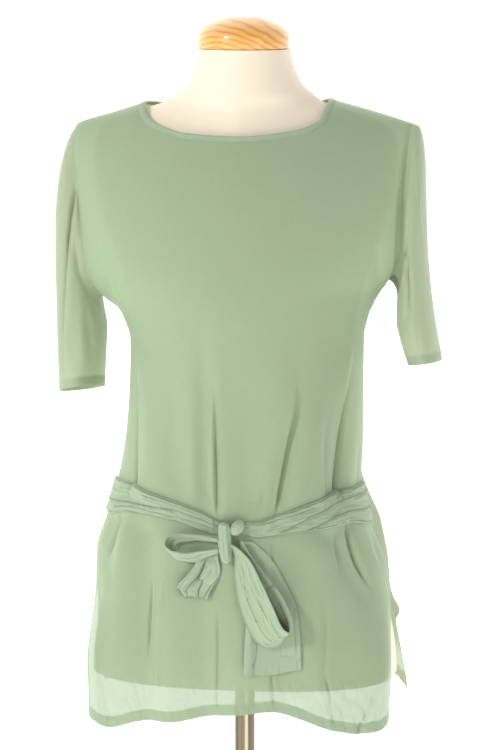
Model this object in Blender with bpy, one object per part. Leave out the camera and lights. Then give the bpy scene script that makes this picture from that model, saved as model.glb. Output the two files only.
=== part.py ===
"""A sage-green A-line tunic blouse, tied at the waist, on a limbless dress form with a round steel foot.

Metres, +Z up. The blouse's front faces -Y and its right sleeve, on the viewer's left, lies at -X. The origin
is the middle of the foot's underside, and the form's axis is the Z axis.
"""

import math

import bpy
import numpy as np

# Driving dimensions
CLOTH = 0.0015  # wall of one layer of cloth
HEM_EXTRA = 0.0006  # a turned-up hem stands this much proud of its wall
HEM_DEPTH = 0.014
SEAM_GAP = 0.0003
BINDING_WIDTH = 0.0070
BINDING_WALL = 0.0022
ROLL = 0.25  # height over which the panels roll from the shoulder seam down to their full depth
BACK_ROLL = 0.20
ARMHOLE_EASE = 0.080  # height over which the armhole closes to its lowest point
SLIT_TOP = 0.745
ARMHOLE_DEPTH = 0.066  # half of the armhole's depth from front to back
NECK_HEIGHT = 1.330  # about where the panels' columns meet the neck
HEM_HEIGHT = 0.600  # about where they meet the hem

FORM_BOTTOM = 0.641
NECK_TOP = 1.408
POLE_RADIUS = 0.0125
FOOT_RADIUS = 0.165
FOOT_RIM = 0.006
SOCKET_RADIUS = 0.021
SOCKET_HEIGHT = 0.030
NECK_Y = -0.012  # the neck leans forward
WORN_ASKEW = 0.0035  # the blouse's middle line lies beside the form's
WORN_LIFT = -0.0006  # height of the blouse over its tables, where its shoulders come to rest

# Cells of the grids
ARM_ROWS = 9
FRONT_COLUMNS = (12, 20, 13)
FRONT_LOWER_ROWS = 16
BACK_COLUMNS = (8, 11, 8)
BACK_LOWER_ROWS = 10
SLEEVE_RINGS = 11
FORM_SIDES = 28
FORM_STEP = 0.045  # a taller step between two of the form's rings takes one more


def table(names, rows):
    """Named columns of numbers from rows, in rising order of the first column."""
    ordered = np.array(sorted(rows), float)
    return dict(zip(names.split(), ordered.T))


def through(rows, key, name, at):
    """The named column as a smooth curve over the key column that never swings past its rows."""
    x, y = rows[key], rows[name]
    step = np.diff(x)
    slope = np.diff(y) / step
    tangent = np.zeros_like(y)
    tangent[0], tangent[-1] = slope[0], slope[-1]
    both = slope[:-1] * slope[1:] > 0
    pairs = slope[:-1][both], slope[1:][both]
    tangent[1:-1][both] = 2 * pairs[0] * pairs[1] / (pairs[0] + pairs[1])
    at = np.clip(at, x[0], x[-1])
    i = np.clip(np.searchsorted(x, at) - 1, 0, len(step) - 1)
    t = (at - x[i]) / step[i]
    start = (2 * t**3 - 3 * t**2 + 1) * y[i] + (t**3 - 2 * t**2 + t) * step[i] * tangent[i]
    end = (3 * t**2 - 2 * t**3) * y[i + 1] + (t**3 - t**2) * step[i] * tangent[i + 1]
    return start + end


def ease(t):
    """0 to 1 with flat ends."""
    t = np.clip(t, 0.0, 1.0)
    return t * t * (3 - 2 * t)


# The blouse's outer edges, seen from the front: the armhole down to the underarm, then the side seam and slit
LEFT_EDGE = table(
    "z x",
    [
        (1.3150, 0.2085),
        (1.2980, 0.2075),
        (1.2290, 0.1990),
        (1.1780, 0.1925),
        (1.1430, 0.1875),
        (1.1160, 0.1810),
        (1.1050, 0.1735),
        (1.0980, 0.1610),
        (1.0830, 0.1512),
        (1.0570, 0.1435),
        (0.9880, 0.1460),
        (0.9500, 0.1490),
        (0.9060, 0.1555),
        (0.8760, 0.1625),
        (0.8330, 0.1760),
        (0.7900, 0.1890),
        (0.7190, 0.1915),
        (0.6670, 0.1950),
        (0.6150, 0.1928),
        (0.5600, 0.1915),
    ],
)
RIGHT_EDGE = table(
    "z x",
    [
        (1.3200, 0.1990),
        (1.2730, 0.1940),
        (1.2330, 0.1900),
        (1.1860, 0.1890),
        (1.1635, 0.1880),
        (1.1400, 0.1810),
        (1.1268, 0.1706),
        (1.1180, 0.1635),
        (1.1050, 0.1560),
        (1.0860, 0.1480),
        (1.0600, 0.1430),
        (0.9820, 0.1425),
        (0.9320, 0.1425),
        (0.8940, 0.1410),
        (0.8690, 0.1446),
        (0.8250, 0.1560),
        (0.7815, 0.1735),
        (0.7310, 0.1790),
        (0.6980, 0.1808),
        (0.6537, 0.1828),
        (0.5600, 0.1800),
    ],
)
UNDERARM = {-1: 1.105, 1: 1.1268}

# Half width of the cloth away from its edges, which flare to the armholes, and its depths at the middle
BODY = table(
    "z half front back",
    [
        (1.360, 0.205, 0.136, 0.112),
        (1.300, 0.203, 0.137, 0.112),
        (1.250, 0.197, 0.139, 0.112),
        (1.200, 0.186, 0.142, 0.111),
        (1.150, 0.170, 0.147, 0.110),
        (1.100, 0.154, 0.151, 0.110),
        (1.050, 0.145, 0.152, 0.111),
        (0.980, 0.145, 0.150, 0.112),
        (0.900, 0.149, 0.145, 0.114),
        (0.850, 0.158, 0.139, 0.118),
        (0.800, 0.174, 0.139, 0.126),
        (0.740, 0.185, 0.141, 0.134),
        (0.660, 0.189, 0.141, 0.136),
        (0.560, 0.186, 0.137, 0.134),
    ],
)

# The crest of the shoulders, carried on over the neck hole so that the panels' slopes stay smooth there
CREST = table(
    "x z",
    [
        (-0.2120, 1.3150),
        (-0.2050, 1.3195),
        (-0.1850, 1.3260),
        (-0.1600, 1.3330),
        (-0.1300, 1.3425),
        (-0.0650, 1.3570),
        (0.0000, 1.3620),
        (0.0600, 1.3570),
        (0.1060, 1.3475),
        (0.1600, 1.3330),
        (0.2050, 1.3190),
    ],
)

# The panels' edges round the neck, under the binding
FRONT_NECK = table(
    "x z",
    [
        (-0.1300, 1.3425),
        (-0.1215, 1.3270),
        (-0.1050, 1.3170),
        (-0.0640, 1.3065),
        (0.0000, 1.3035),
        (0.0550, 1.3085),
        (0.0820, 1.3150),
        (0.0980, 1.3240),
        (0.1060, 1.3475),
    ],
)
BACK_NECK = table(
    "x z",
    [
        (-0.1300, 1.3425),
        (-0.1000, 1.3370),
        (0.0000, 1.3330),
        (0.0800, 1.3390),
        (0.1060, 1.3475),
    ],
)
NECK_POINTS = (-0.1300, 0.1060)

# Lower edges
FRONT_HEM = table(
    "x z",
    [
        (-0.200, 0.581),
        (-0.165, 0.5825),
        (-0.124, 0.596),
        (-0.075, 0.603),
        (-0.040, 0.614),
        (0.000, 0.621),
        (0.040, 0.622),
        (0.070, 0.612),
        (0.125, 0.590),
        (0.150, 0.5855),
        (0.185, 0.586),
    ],
)
BACK_HEM = table(
    "x z",
    [
        (-0.200, 0.594),
        (-0.100, 0.588),
        (0.000, 0.586),
        (0.060, 0.590),
        (0.120, 0.600),
        (0.160, 0.609),
        (0.171, 0.609),
        (0.177, 0.600),
        (0.183, 0.592),
    ],
)

# How far the free edges below the slits stand off the side plane, forward and back, and how far the back
# panel's edges swing out sideways
SLIT_FALL = table(
    "z front back left right",
    [
        (0.560, 0.054, 0.085, 0.004, 0.0160),
        (0.602, 0.050, 0.072, 0.004, 0.0143),
        (0.646, 0.044, 0.054, 0.003, 0.0074),
        (0.698, 0.024, 0.028, 0.002, 0.0026),
        (0.713, 0.015, 0.018, 0.001, 0.0087),
        (0.730, 0.005, 0.006, 0.000, 0.0030),
        (0.745, 0.000, 0.000, 0.000, 0.0000),
    ],
)

# The back's pouch beside its right seam, where the tie draws the front in: how far it swells past the seam
POUCH = table("z out", [(0.755, 0.0), (0.790, 0.005), (0.830, 0.012), (0.862, 0.006), (0.888, 0.0)])
POUCH_ANGLE = math.radians(72)
POUCH_REACH = math.radians(11)

# Soft folds: a straight line from top to bottom, its half width, its height off the panel (below zero for a
# trough), and how much of its length it takes to rise and to die out. A fold that ends below the hem runs out
# through it.
FOLD_NAMES = "top_x top_z low_x low_z half height rise fall"
FRONT_FOLDS = [
    dict(zip(FOLD_NAMES.split(), row))
    for row in [
        (-0.036, 1.100, -0.036, 0.845, 0.010, -0.0085, 0.60, 0.06),
        (-0.016, 1.080, -0.016, 0.845, 0.014, 0.0055, 0.60, 0.08),
        (0.078, 1.010, 0.046, 0.850, 0.012, -0.0085, 0.50, 0.06),
        (0.095, 1.020, 0.066, 0.850, 0.014, 0.0065, 0.50, 0.08),
        (0.130, 1.020, 0.116, 0.855, 0.010, -0.0085, 0.50, 0.06),
        (-0.138, 1.080, -0.134, 0.860, 0.011, -0.0070, 0.40, 0.06),
        (-0.104, 1.060, -0.100, 0.855, 0.018, 0.0050, 0.60, 0.08),
        (0.022, 1.080, 0.016, 0.845, 0.013, -0.0040, 0.70, 0.08),
        (-0.070, 1.060, -0.066, 0.845, 0.014, -0.0035, 0.60, 0.08),
        (-0.112, 0.860, -0.116, 0.520, 0.016, -0.0055, 0.10, 0.35),
        (-0.080, 0.860, -0.076, 0.500, 0.018, 0.0055, 0.10, 0.35),
        (-0.040, 0.850, -0.030, 0.500, 0.016, -0.0050, 0.10, 0.35),
        (0.004, 0.840, 0.010, 0.500, 0.020, 0.0040, 0.12, 0.35),
        (0.058, 0.840, 0.062, 0.500, 0.016, -0.0050, 0.10, 0.35),
        (0.092, 0.850, 0.112, 0.520, 0.018, 0.0050, 0.10, 0.35),
        (0.106, 0.850, 0.164, 0.730, 0.011, -0.0060, 0.15, 0.30),
        (-0.158, 0.850, -0.172, 0.750, 0.011, -0.0060, 0.15, 0.30),
        (-0.140, 0.850, -0.150, 0.640, 0.016, 0.0045, 0.15, 0.40),
    ]
]
BACK_FOLDS = [
    dict(zip(FOLD_NAMES.split(), row))
    for row in [
        (-0.100, 1.160, -0.090, 0.480, 0.022, 0.0065, 0.45, 0.20),
        (-0.045, 1.120, -0.050, 0.480, 0.020, -0.0065, 0.45, 0.20),
        (0.010, 1.140, 0.004, 0.480, 0.022, 0.0065, 0.45, 0.20),
        (0.060, 1.120, 0.066, 0.480, 0.020, -0.0065, 0.45, 0.20),
        (0.110, 1.160, 0.118, 0.480, 0.020, 0.0060, 0.45, 0.20),
    ]
]

# Where the ties press the front's folds flat: the middle of the band across the front, and its reach each way
PRESSED = table(
    "x z",
    [
        (-0.170, 0.861),
        (-0.075, 0.866),
        (0.000, 0.850),
        (0.075, 0.858),
        (0.150, 0.862),
    ],
)
PRESSED_REACH = 0.024
PRESSED_SHARE = 0.70

# Sleeves: the outer and inner outlines from the armhole (0) to the cuff (1), and the depth each way from the
# middle
SLEEVES = {
    -1: table(
        "s top_x top_z low_x low_z deep tilt",
        [
            (0.00, 0.2085, 1.3150, 0.1735, 1.1050, 0.056, 0.00),
            (0.10, 0.2165, 1.3020, 0.1795, 1.1045, 0.058, 0.00),
            (0.20, 0.2235, 1.2840, 0.1830, 1.1000, 0.060, 0.00),
            (0.32, 0.2310, 1.2476, 0.1825, 1.0920, 0.061, 0.01),
            (0.47, 0.2347, 1.1980, 0.1800, 1.0800, 0.062, 0.04),
            (0.62, 0.2352, 1.1400, 0.1768, 1.0640, 0.062, 0.08),
            (0.80, 0.2345, 1.0650, 0.1785, 1.0350, 0.063, 0.13),
            (1.00, 0.2325, 0.9860, 0.1810, 0.9950, 0.063, 0.18),
        ],
    ),
    1: table(
        "s top_x top_z low_x low_z deep tilt",
        [
            (0.00, 0.1990, 1.3200, 0.1706, 1.1268, 0.056, 0.00),
            (0.08, 0.2075, 1.3160, 0.1760, 1.1270, 0.058, 0.00),
            (0.18, 0.2130, 1.2960, 0.1810, 1.1220, 0.060, 0.00),
            (0.30, 0.2158, 1.2650, 0.1830, 1.1120, 0.061, 0.01),
            (0.45, 0.2170, 1.2200, 0.1830, 1.0990, 0.062, 0.02),
            (0.62, 0.2195, 1.1650, 0.1830, 1.0820, 0.062, 0.04),
            (0.80, 0.2265, 1.1030, 0.1870, 1.0610, 0.063, 0.07),
            (1.00, 0.2385, 1.0350, 0.1970, 1.0290, 0.063, 0.10),
        ],
    ),
}

# The ties on the front, from the side seams to the knot: upper and lower edges, and how far off the panel
LEFT_TIE = table(
    "x up low pleat",
    [
        (-0.1680, 0.8815, 0.8395, 0.0010),
        (-0.1590, 0.8842, 0.8405, 0.0014),
        (-0.1370, 0.8863, 0.8500, 0.0018),
        (-0.1035, 0.8832, 0.8540, 0.0018),
        (-0.0750, 0.8778, 0.8535, 0.0018),
        (-0.0485, 0.8714, 0.8480, 0.0016),
        (-0.0310, 0.8645, 0.8430, 0.0012),
        (-0.0102, 0.8551, 0.8388, 0.0006),
    ],
)
RIGHT_TIE = table(
    "x up low pleat",
    [
        (0.0080, 0.8590, 0.8440, 0.0006),
        (0.0263, 0.8575, 0.8388, 0.0012),
        (0.0430, 0.8615, 0.8400, 0.0016),
        (0.0735, 0.8723, 0.8425, 0.0018),
        (0.1050, 0.8808, 0.8440, 0.0018),
        (0.1285, 0.8862, 0.8450, 0.0018),
        (0.1410, 0.8850, 0.8380, 0.0014),
        (0.1470, 0.8830, 0.8310, 0.0010),
    ],
)
TIE_GAP = 0.0011
TIE_WALL = 0.0018
TIE_END = math.radians(86)

# The tails below the knot, top to bottom
LEFT_TAIL = table(
    "t left right z out",
    [
        (0.00, -0.0300, -0.0175, 0.8185, 0.0012),
        (0.15, -0.0410, -0.0160, 0.8100, 0.0012),
        (0.30, -0.0480, -0.0145, 0.8010, 0.0014),
        (0.50, -0.0560, -0.0165, 0.7890, 0.0018),
        (0.70, -0.0640, -0.0225, 0.7785, 0.0022),
        (0.85, -0.0670, -0.0270, 0.7700, 0.0025),
        (1.00, -0.0625, -0.0300, 0.7615, 0.0028),
    ],
)
RIGHT_TAIL = table(
    "t left right z out",
    [
        (0.00, 0.0075, 0.0240, 0.8340, 0.0012),
        (0.12, 0.0130, 0.0440, 0.8130, 0.0012),
        (0.28, 0.0155, 0.0590, 0.7870, 0.0012),
        (0.52, 0.0160, 0.0750, 0.7500, 0.0014),
        (0.76, 0.0140, 0.0790, 0.7120, 0.0018),
        (1.00, 0.0125, 0.0800, 0.6730, 0.0022),
    ],
)

# The bow's loops: the band's near rim from the knot, round the tip and back, and the far rim beside it
LOOP_COLUMNS = "t x z out far_x far_z far_out"
RIGHT_LOOP = table(
    LOOP_COLUMNS,
    [
        (0.00, -0.0006, 0.8330, 0.0150, -0.0006, 0.8280, 0.0080),
        (0.08, 0.0110, 0.8260, 0.0200, 0.0030, 0.8170, 0.0075),
        (0.18, 0.0216, 0.8140, 0.0270, 0.0030, 0.8010, 0.0080),
        (0.33, 0.0331, 0.7864, 0.0330, 0.0055, 0.7694, 0.0090),
        (0.48, 0.0450, 0.7575, 0.0360, 0.0145, 0.7385, 0.0095),
        (0.58, 0.0537, 0.7379, 0.0360, 0.0240, 0.7179, 0.0090),
        (0.65, 0.0624, 0.7290, 0.0335, 0.0404, 0.7050, 0.0080),
        (0.70, 0.0655, 0.7378, 0.0280, 0.0485, 0.7178, 0.0070),
        (0.78, 0.0590, 0.7619, 0.0230, 0.0425, 0.7489, 0.0065),
        (0.87, 0.0428, 0.7889, 0.0190, 0.0278, 0.7789, 0.0062),
        (0.94, 0.0247, 0.8149, 0.0160, 0.0167, 0.8069, 0.0062),
        (1.00, 0.0110, 0.8370, 0.0130, 0.0100, 0.8330, 0.0065),
    ],
)
LEFT_LOOP = table(
    LOOP_COLUMNS,
    [
        (0.00, -0.0158, 0.8265, 0.0140, -0.0158, 0.8215, 0.0080),
        (0.15, -0.0352, 0.8228, 0.0160, -0.0342, 0.8128, 0.0062),
        (0.30, -0.0507, 0.8197, 0.0190, -0.0477, 0.8067, 0.0062),
        (0.42, -0.0639, 0.8225, 0.0210, -0.0599, 0.8085, 0.0064),
        (0.50, -0.0716, 0.8300, 0.0205, -0.0666, 0.8170, 0.0064),
        (0.58, -0.0705, 0.8366, 0.0185, -0.0655, 0.8256, 0.0064),
        (0.70, -0.0587, 0.8405, 0.0175, -0.0547, 0.8305, 0.0068),
        (0.85, -0.0400, 0.8415, 0.0160, -0.0380, 0.8335, 0.0076),
        (1.00, -0.0158, 0.8390, 0.0150, -0.0158, 0.8340, 0.0090),
    ],
)

# The knot: closed lumps of wound cloth with oval sections, along a line on the front
LUMP_COLUMNS = "t x z half deep out"
KNOT_WRAP = table(
    LUMP_COLUMNS,
    [
        (0.00, -0.0095, 0.8590, 0.0025, 0.0025, 0.0088),
        (0.12, -0.0090, 0.8555, 0.0062, 0.0055, 0.0090),
        (0.50, -0.0083, 0.8330, 0.0070, 0.0062, 0.0098),
        (0.86, -0.0068, 0.8140, 0.0056, 0.0050, 0.0096),
        (1.00, -0.0066, 0.8095, 0.0022, 0.0022, 0.0090),
    ],
)
KNOT_TOP = table(
    LUMP_COLUMNS,
    [
        (0.00, -0.0020, 0.8500, 0.0028, 0.0025, 0.0092),
        (0.18, 0.0004, 0.8505, 0.0070, 0.0050, 0.0096),
        (0.55, 0.0060, 0.8530, 0.0088, 0.0064, 0.0100),
        (0.85, 0.0112, 0.8550, 0.0068, 0.0050, 0.0092),
        (1.00, 0.0135, 0.8555, 0.0028, 0.0022, 0.0084),
    ],
)

# The form's level sections: half width, front and back, and their roundness (2 is an oval, less is leaner)
FORM = table(
    "z half front back round",
    [
        (0.6410, 0.1900, 0.1120, 0.1110, 2.10),
        (0.6600, 0.1890, 0.1130, 0.1130, 2.10),
        (0.6800, 0.1865, 0.1150, 0.1150, 2.10),
        (0.7000, 0.1830, 0.1155, 0.1150, 2.10),
        (0.7400, 0.1740, 0.1160, 0.1140, 2.10),
        (0.7900, 0.1590, 0.1130, 0.1080, 2.10),
        (0.8400, 0.1415, 0.1090, 0.0980, 2.10),
        (0.8900, 0.1290, 0.1060, 0.0880, 2.10),
        (0.9400, 0.1220, 0.1060, 0.0820, 2.10),
        (1.0100, 0.1270, 0.1220, 0.0880, 2.10),
        (1.0500, 0.1320, 0.1340, 0.0920, 2.05),
        (1.0950, 0.1390, 0.1390, 0.0950, 2.00),
        (1.1500, 0.1540, 0.1310, 0.0940, 2.00),
        (1.2100, 0.1740, 0.1150, 0.0870, 2.00),
        (1.2500, 0.1830, 0.1030, 0.0780, 1.90),
        (1.2900, 0.1850, 0.0860, 0.0660, 1.65),
        (1.3108, 0.1790, 0.0765, 0.0590, 1.45),
        (1.3228, 0.1640, 0.0730, 0.0545, 1.38),
        (1.3313, 0.1400, 0.0710, 0.0520, 1.36),
        (1.3383, 0.1150, 0.0700, 0.0500, 1.42),
        (1.3448, 0.0960, 0.0695, 0.0488, 1.60),
        (1.3527, 0.0850, 0.0695, 0.0475, 1.90),
        (1.3645, 0.0715, 0.0680, 0.0455, 2.00),
        (1.3777, 0.0635, 0.0665, 0.0440, 2.00),
        (1.3935, 0.0580, 0.0650, 0.0420, 2.00),
        (1.4080, 0.0555, 0.0640, 0.0400, 2.00),
    ],
)

# The cap's outline, a low dome: distance from its axis, and height over its underside
CAP = [
    (0.0500, 0.0000),
    (0.0540, 0.0014),
    (0.0556, 0.0045),
    (0.0560, 0.0090),
    (0.0556, 0.0145),
    (0.0539, 0.0196),
    (0.0495, 0.0252),
    (0.0425, 0.0304),
    (0.0340, 0.0346),
    (0.0240, 0.0379),
    (0.0130, 0.0396),
    (0.0040, 0.0402),
]


def edge_width(z, side):
    return through(LEFT_EDGE if side < 0 else RIGHT_EDGE, "z", "x", z)


def half_width(u, z):
    """Half the panel's width at height z, with the flare that its armholes and sides add near the edges."""
    toward_right = ease((u + 1) / 2)
    edge = edge_width(z, -1) * (1 - toward_right) + edge_width(z, 1) * toward_right
    middle = through(BODY, "z", "half", z)
    return middle + (edge - middle) * (0.25 * u**2 + 0.75 * u**8)


def armhole_share(u, z, depth):
    """The share of the panel's depth that is left at its armhole edge."""
    toward_right = ease((u + 1) / 2)
    underarm = UNDERARM[-1] * (1 - toward_right) + UNDERARM[1] * toward_right
    up = np.clip((z - underarm) / ARMHOLE_EASE, 0, 1)
    return ARMHOLE_DEPTH / depth * np.sqrt(1 - (1 - up) ** 2)


def fold_relief(folds, x, z):
    total = np.zeros_like(x)
    for fold in folds:
        run = np.array([fold["low_x"] - fold["top_x"], fold["low_z"] - fold["top_z"]])
        length = np.hypot(*run)
        run = run / length
        along = ((x - fold["top_x"]) * run[0] + (z - fold["top_z"]) * run[1]) / length
        across = (x - fold["top_x"]) * run[1] - (z - fold["top_z"]) * run[0]
        strength = ease(along / fold["rise"]) * ease((1 - along) / fold["fall"])
        total += fold["height"] * strength * np.exp(-((across / fold["half"]) ** 2))
    return total


def panel_point(alpha, z, face):
    """A panel's outer surface without its folds; alpha runs from -90 to 90 degrees between the two edges."""
    u = np.sin(alpha)
    x = u * half_width(u, z)
    depth = through(BODY, "z", "front" if face < 0 else "back", z)
    share = armhole_share(u, z, depth)
    across = np.sqrt(np.maximum(1 - u**2 * (1 - share**2), 0))
    roll = ROLL if face < 0 else BACK_ROLL
    drop = np.clip((through(CREST, "x", "z", x) - z) / roll, 0, 1)
    y = face * depth * across * np.sqrt(1 - (1 - drop) ** 2)
    fall = through(SLIT_FALL, "z", "front" if face < 0 else "back", z) * np.abs(u) ** 6
    if face > 0:
        swing = np.where(u < 0, -through(SLIT_FALL, "z", "left", z), through(SLIT_FALL, "z", "right", z))
        pouch = through(POUCH, "z", "out", z) * np.exp(-(((alpha - POUCH_ANGLE) / POUCH_REACH) ** 2))
        x = x + swing * np.abs(u) ** 6 + pouch
    return np.stack([x, y + face * fall, z], -1)


def unit(v):
    return v / np.maximum(np.linalg.norm(v, axis=-1, keepdims=True), 1e-12)


def panel_surface(alpha, z, face, folds):
    """The panel's outer surface with its folds, and its outward normals."""
    alpha, z = np.broadcast_arrays(np.asarray(alpha, float), np.asarray(z, float))
    step = 1e-4
    point = panel_point(alpha, z, face)
    turn = panel_point(alpha + step, z, face) - panel_point(alpha - step, z, face)
    down = panel_point(alpha, z - step, face) - panel_point(alpha, z + step, face)
    normal = unit(np.cross(turn, down)) * face
    calm = 1 - np.abs(np.sin(alpha)) ** 12
    if face < 0:
        band = (z - through(PRESSED, "x", "z", point[..., 0])) / PRESSED_REACH
        calm = calm * (1 - PRESSED_SHARE * np.exp(-(band**4)))
    relief = fold_relief(folds, point[..., 0], z) * calm
    return point + normal * relief[..., None], normal


def alpha_at(x, z):
    """The alpha of a panel's column at x, at heights where the half width is known."""
    x, z = np.broadcast_arrays(np.asarray(x, float), np.asarray(z, float))
    u = np.clip(x / 0.18, -1, 1)
    for _ in range(40):
        u = np.clip(0.5 * u + 0.5 * x / half_width(u, z), -1, 1)
    return np.arcsin(u)


class Front:
    """The front panel's own grid, which whatever lies on it is made from."""

    def __init__(self, angles, outer, normal):
        self.angles, self.outer, self.normal = angles, outer, normal

    def at(self, alpha, z, out):
        """Points at the given distance outside the panel's faces."""
        alpha, z, out = np.broadcast_arrays(*(np.asarray(v, float) for v in (alpha, z, out)))
        j = np.clip(np.searchsorted(self.angles, alpha) - 1, 0, len(self.angles) - 2)
        share = ((alpha - self.angles[j]) / (self.angles[j + 1] - self.angles[j]))[..., None]
        heights = self.outer[..., 2]
        column = heights[:, j] * (1 - share[..., 0]) + heights[:, j + 1] * share[..., 0]
        i = np.clip((column > z).sum(0) - 1, 0, len(heights) - 2)
        top = np.take_along_axis(column, i[None], 0)[0]
        low = np.take_along_axis(column, i[None] + 1, 0)[0]
        down = ((top - z) / (top - low))[..., None]

        def blend(grid):
            left = grid[i, j] * (1 - down) + grid[i + 1, j] * down
            right = grid[i, j + 1] * (1 - down) + grid[i + 1, j + 1] * down
            return left * (1 - share) + right * share

        return blend(self.outer) + unit(blend(self.normal)) * out[..., None]

    def over(self, x, z, out):
        return self.at(alpha_at(x, z), z, out)


def grid_normals(grid, ring=False):
    """Normals of a grid of points from its neighbours."""
    down = np.gradient(grid, axis=0)
    if ring:
        across = (np.roll(grid, -1, axis=1) - np.roll(grid, 1, axis=1)) / 2
    else:
        across = np.gradient(grid, axis=1)
    return unit(np.cross(down, across))


def wall_mesh(name, outer, inner, ring=False):
    """A closed wall between two grids of points, triangulated alike on both sides."""
    rows, columns = outer.shape[:2]
    count = rows * columns
    points = np.concatenate([outer.reshape(-1, 3), inner.reshape(-1, 3)])
    faces = []
    across = columns if ring else columns - 1

    def at(i, j, layer=0):
        return layer * count + i * columns + j % columns

    for i in range(rows - 1):
        for j in range(across):
            a, b, c, d = at(i, j), at(i + 1, j), at(i + 1, j + 1), at(i, j + 1)
            faces += [(a, b, c), (a, c, d)]
            faces += [(a + count, c + count, b + count), (a + count, d + count, c + count)]
    for j in range(across):
        for i, turned in ((0, True), (rows - 1, False)):
            a, b, c, d = at(i, j), at(i, j + 1), at(i, j + 1, 1), at(i, j, 1)
            quad = (a, b, c, d) if turned else (d, c, b, a)
            faces += [quad[:3], (quad[0], quad[2], quad[3])]
    if not ring:
        for i in range(rows - 1):
            for j, turned in ((0, False), (columns - 1, True)):
                a, b, c, d = at(i, j), at(i + 1, j), at(i + 1, j, 1), at(i, j, 1)
                quad = (a, b, c, d) if turned else (d, c, b, a)
                faces += [quad[:3], (quad[0], quad[2], quad[3])]
    return add_mesh(name, points, faces)


def add_mesh(name, points, faces):
    """A mesh object, with its faces turned outwards."""
    faces = np.array(faces)
    corners = points[faces]
    if np.linalg.det(corners).sum() < 0:
        faces = faces[:, ::-1]
    mesh = bpy.data.meshes.new(name)
    mesh.from_pydata(points.tolist(), [], faces.tolist())
    mesh.shade_smooth()
    mesh.set_sharp_from_angle(angle=math.radians(50))
    piece = bpy.data.objects.new(name, mesh)
    bpy.context.scene.collection.objects.link(piece)
    return piece


def turned_mesh(name, profile, sides):
    """A solid turned about the Z axis from (radius, height) points, bottom to top, with its ends on the axis."""
    points = [(0, 0, profile[0][1])]
    faces = []
    for radius, height in profile:
        for k in range(sides):
            turn = 2 * math.pi * k / sides
            points.append((radius * math.cos(turn), radius * math.sin(turn), height))
    points.append((0, 0, profile[-1][1]))
    top = len(points) - 1
    for k in range(sides):
        after = (k + 1) % sides
        faces.append((0, 1 + after, 1 + k))
        for i in range(len(profile) - 1):
            low, high = 1 + i * sides, 1 + (i + 1) * sides
            faces += [(low + k, low + after, high + after), (low + k, high + after, high + k)]
        last = top - sides
        faces.append((top, last + k, last + after))
    return add_mesh(name, np.array(points, float), faces)


def panel_angles(cells):
    """The columns' angles, with one on each neck point."""
    ends = []
    for x in NECK_POINTS:
        z = through(CREST, "x", "z", np.array(x))
        ends.append(float(alpha_at(x, z)))
    marks = [-math.pi / 2, ends[0], ends[1], math.pi / 2]
    parts = []
    for i in range(3):
        even = np.linspace(0, 1, cells[i] + 1)[:-1]
        if i == 1:
            even = 0.6 * even + 0.4 * (0.5 - 0.5 * np.cos(math.pi * even))
        parts.append(marks[i] + (marks[i + 1] - marks[i]) * even)
    return np.concatenate(parts + [[math.pi / 2]])


def panel_heights(angles, neck, hem, lower_rows):
    """Heights of each column's rows: close over the shoulder, one at the underarm, then even to the hem."""
    u = np.sin(angles)
    x = u * half_width(u, np.full_like(u, NECK_HEIGHT))
    for _ in range(20):
        crest = through(CREST, "x", "z", x)
        opening = through(neck, "x", "z", x)
        inside = (x > NECK_POINTS[0]) & (x < NECK_POINTS[1])
        top = np.where(inside, np.minimum(opening, crest), crest)
        x = u * half_width(u, top)
    toward_right = ease((u + 1) / 2)
    underarm = UNDERARM[-1] * (1 - toward_right) + UNDERARM[1] * toward_right
    low_x = u * half_width(u, np.full_like(u, HEM_HEIGHT))
    bottom = through(hem, "x", "z", low_x)
    band = bottom + HEM_DEPTH
    arm = (np.arange(ARM_ROWS + 1) / ARM_ROWS) ** 1.7
    lower = (np.arange(1, lower_rows + 1) / lower_rows) ** 1.12
    rows = [top + (underarm - top) * share for share in arm]
    rows += [underarm + (band - underarm) * share for share in lower]
    return np.array(rows + [bottom])


def shoulder_normals(points):
    """On the shoulder seam the cloth lies square to the crest, so that both panels share one mitre."""
    slope = np.gradient(through(CREST, "x", "z", points[:, 0]), points[:, 0])
    return unit(np.stack([-slope, np.zeros_like(slope), np.ones_like(slope)], -1))


def make_panel(face):
    """A panel's outer grid and normals, before its seams are settled."""
    cells = FRONT_COLUMNS if face < 0 else BACK_COLUMNS
    angles = panel_angles(cells)
    neck, hem = (FRONT_NECK, FRONT_HEM) if face < 0 else (BACK_NECK, BACK_HEM)
    lower_rows = FRONT_LOWER_ROWS if face < 0 else BACK_LOWER_ROWS
    heights = panel_heights(angles, neck, hem, lower_rows)
    folds = FRONT_FOLDS if face < 0 else BACK_FOLDS
    outer, normal = panel_surface(np.broadcast_to(angles, heights.shape), heights, face, folds)
    seam = np.r_[0 : cells[0] + 1, cells[0] + cells[1] : sum(cells) + 1]
    outer[0, seam, 1] = 0.0
    normal[0, seam] = shoulder_normals(outer[0])[seam]
    closed = heights[:, [0, -1]] > SLIT_TOP
    for column in (0, -1):
        rows = closed[:, column]
        rows[: ARM_ROWS] = False
        outer[rows, column, 1] = 0.0
        normal[rows, column, 1] = 0.0
    return {
        "angles": angles,
        "outer": outer,
        "normal": unit(normal),
        "seam": seam,
        "closed": closed,
        "cells": cells,
    }


def armhole_loop(front, back, side, name):
    """The armhole's points from the shoulder, down the front edge and up the back edge."""
    column = 0 if side < 0 else -1
    down = front[name][: ARM_ROWS + 1, column]
    up = back[name][ARM_ROWS - 1 : 0 : -1, column]
    return np.concatenate([down, up])


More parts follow.
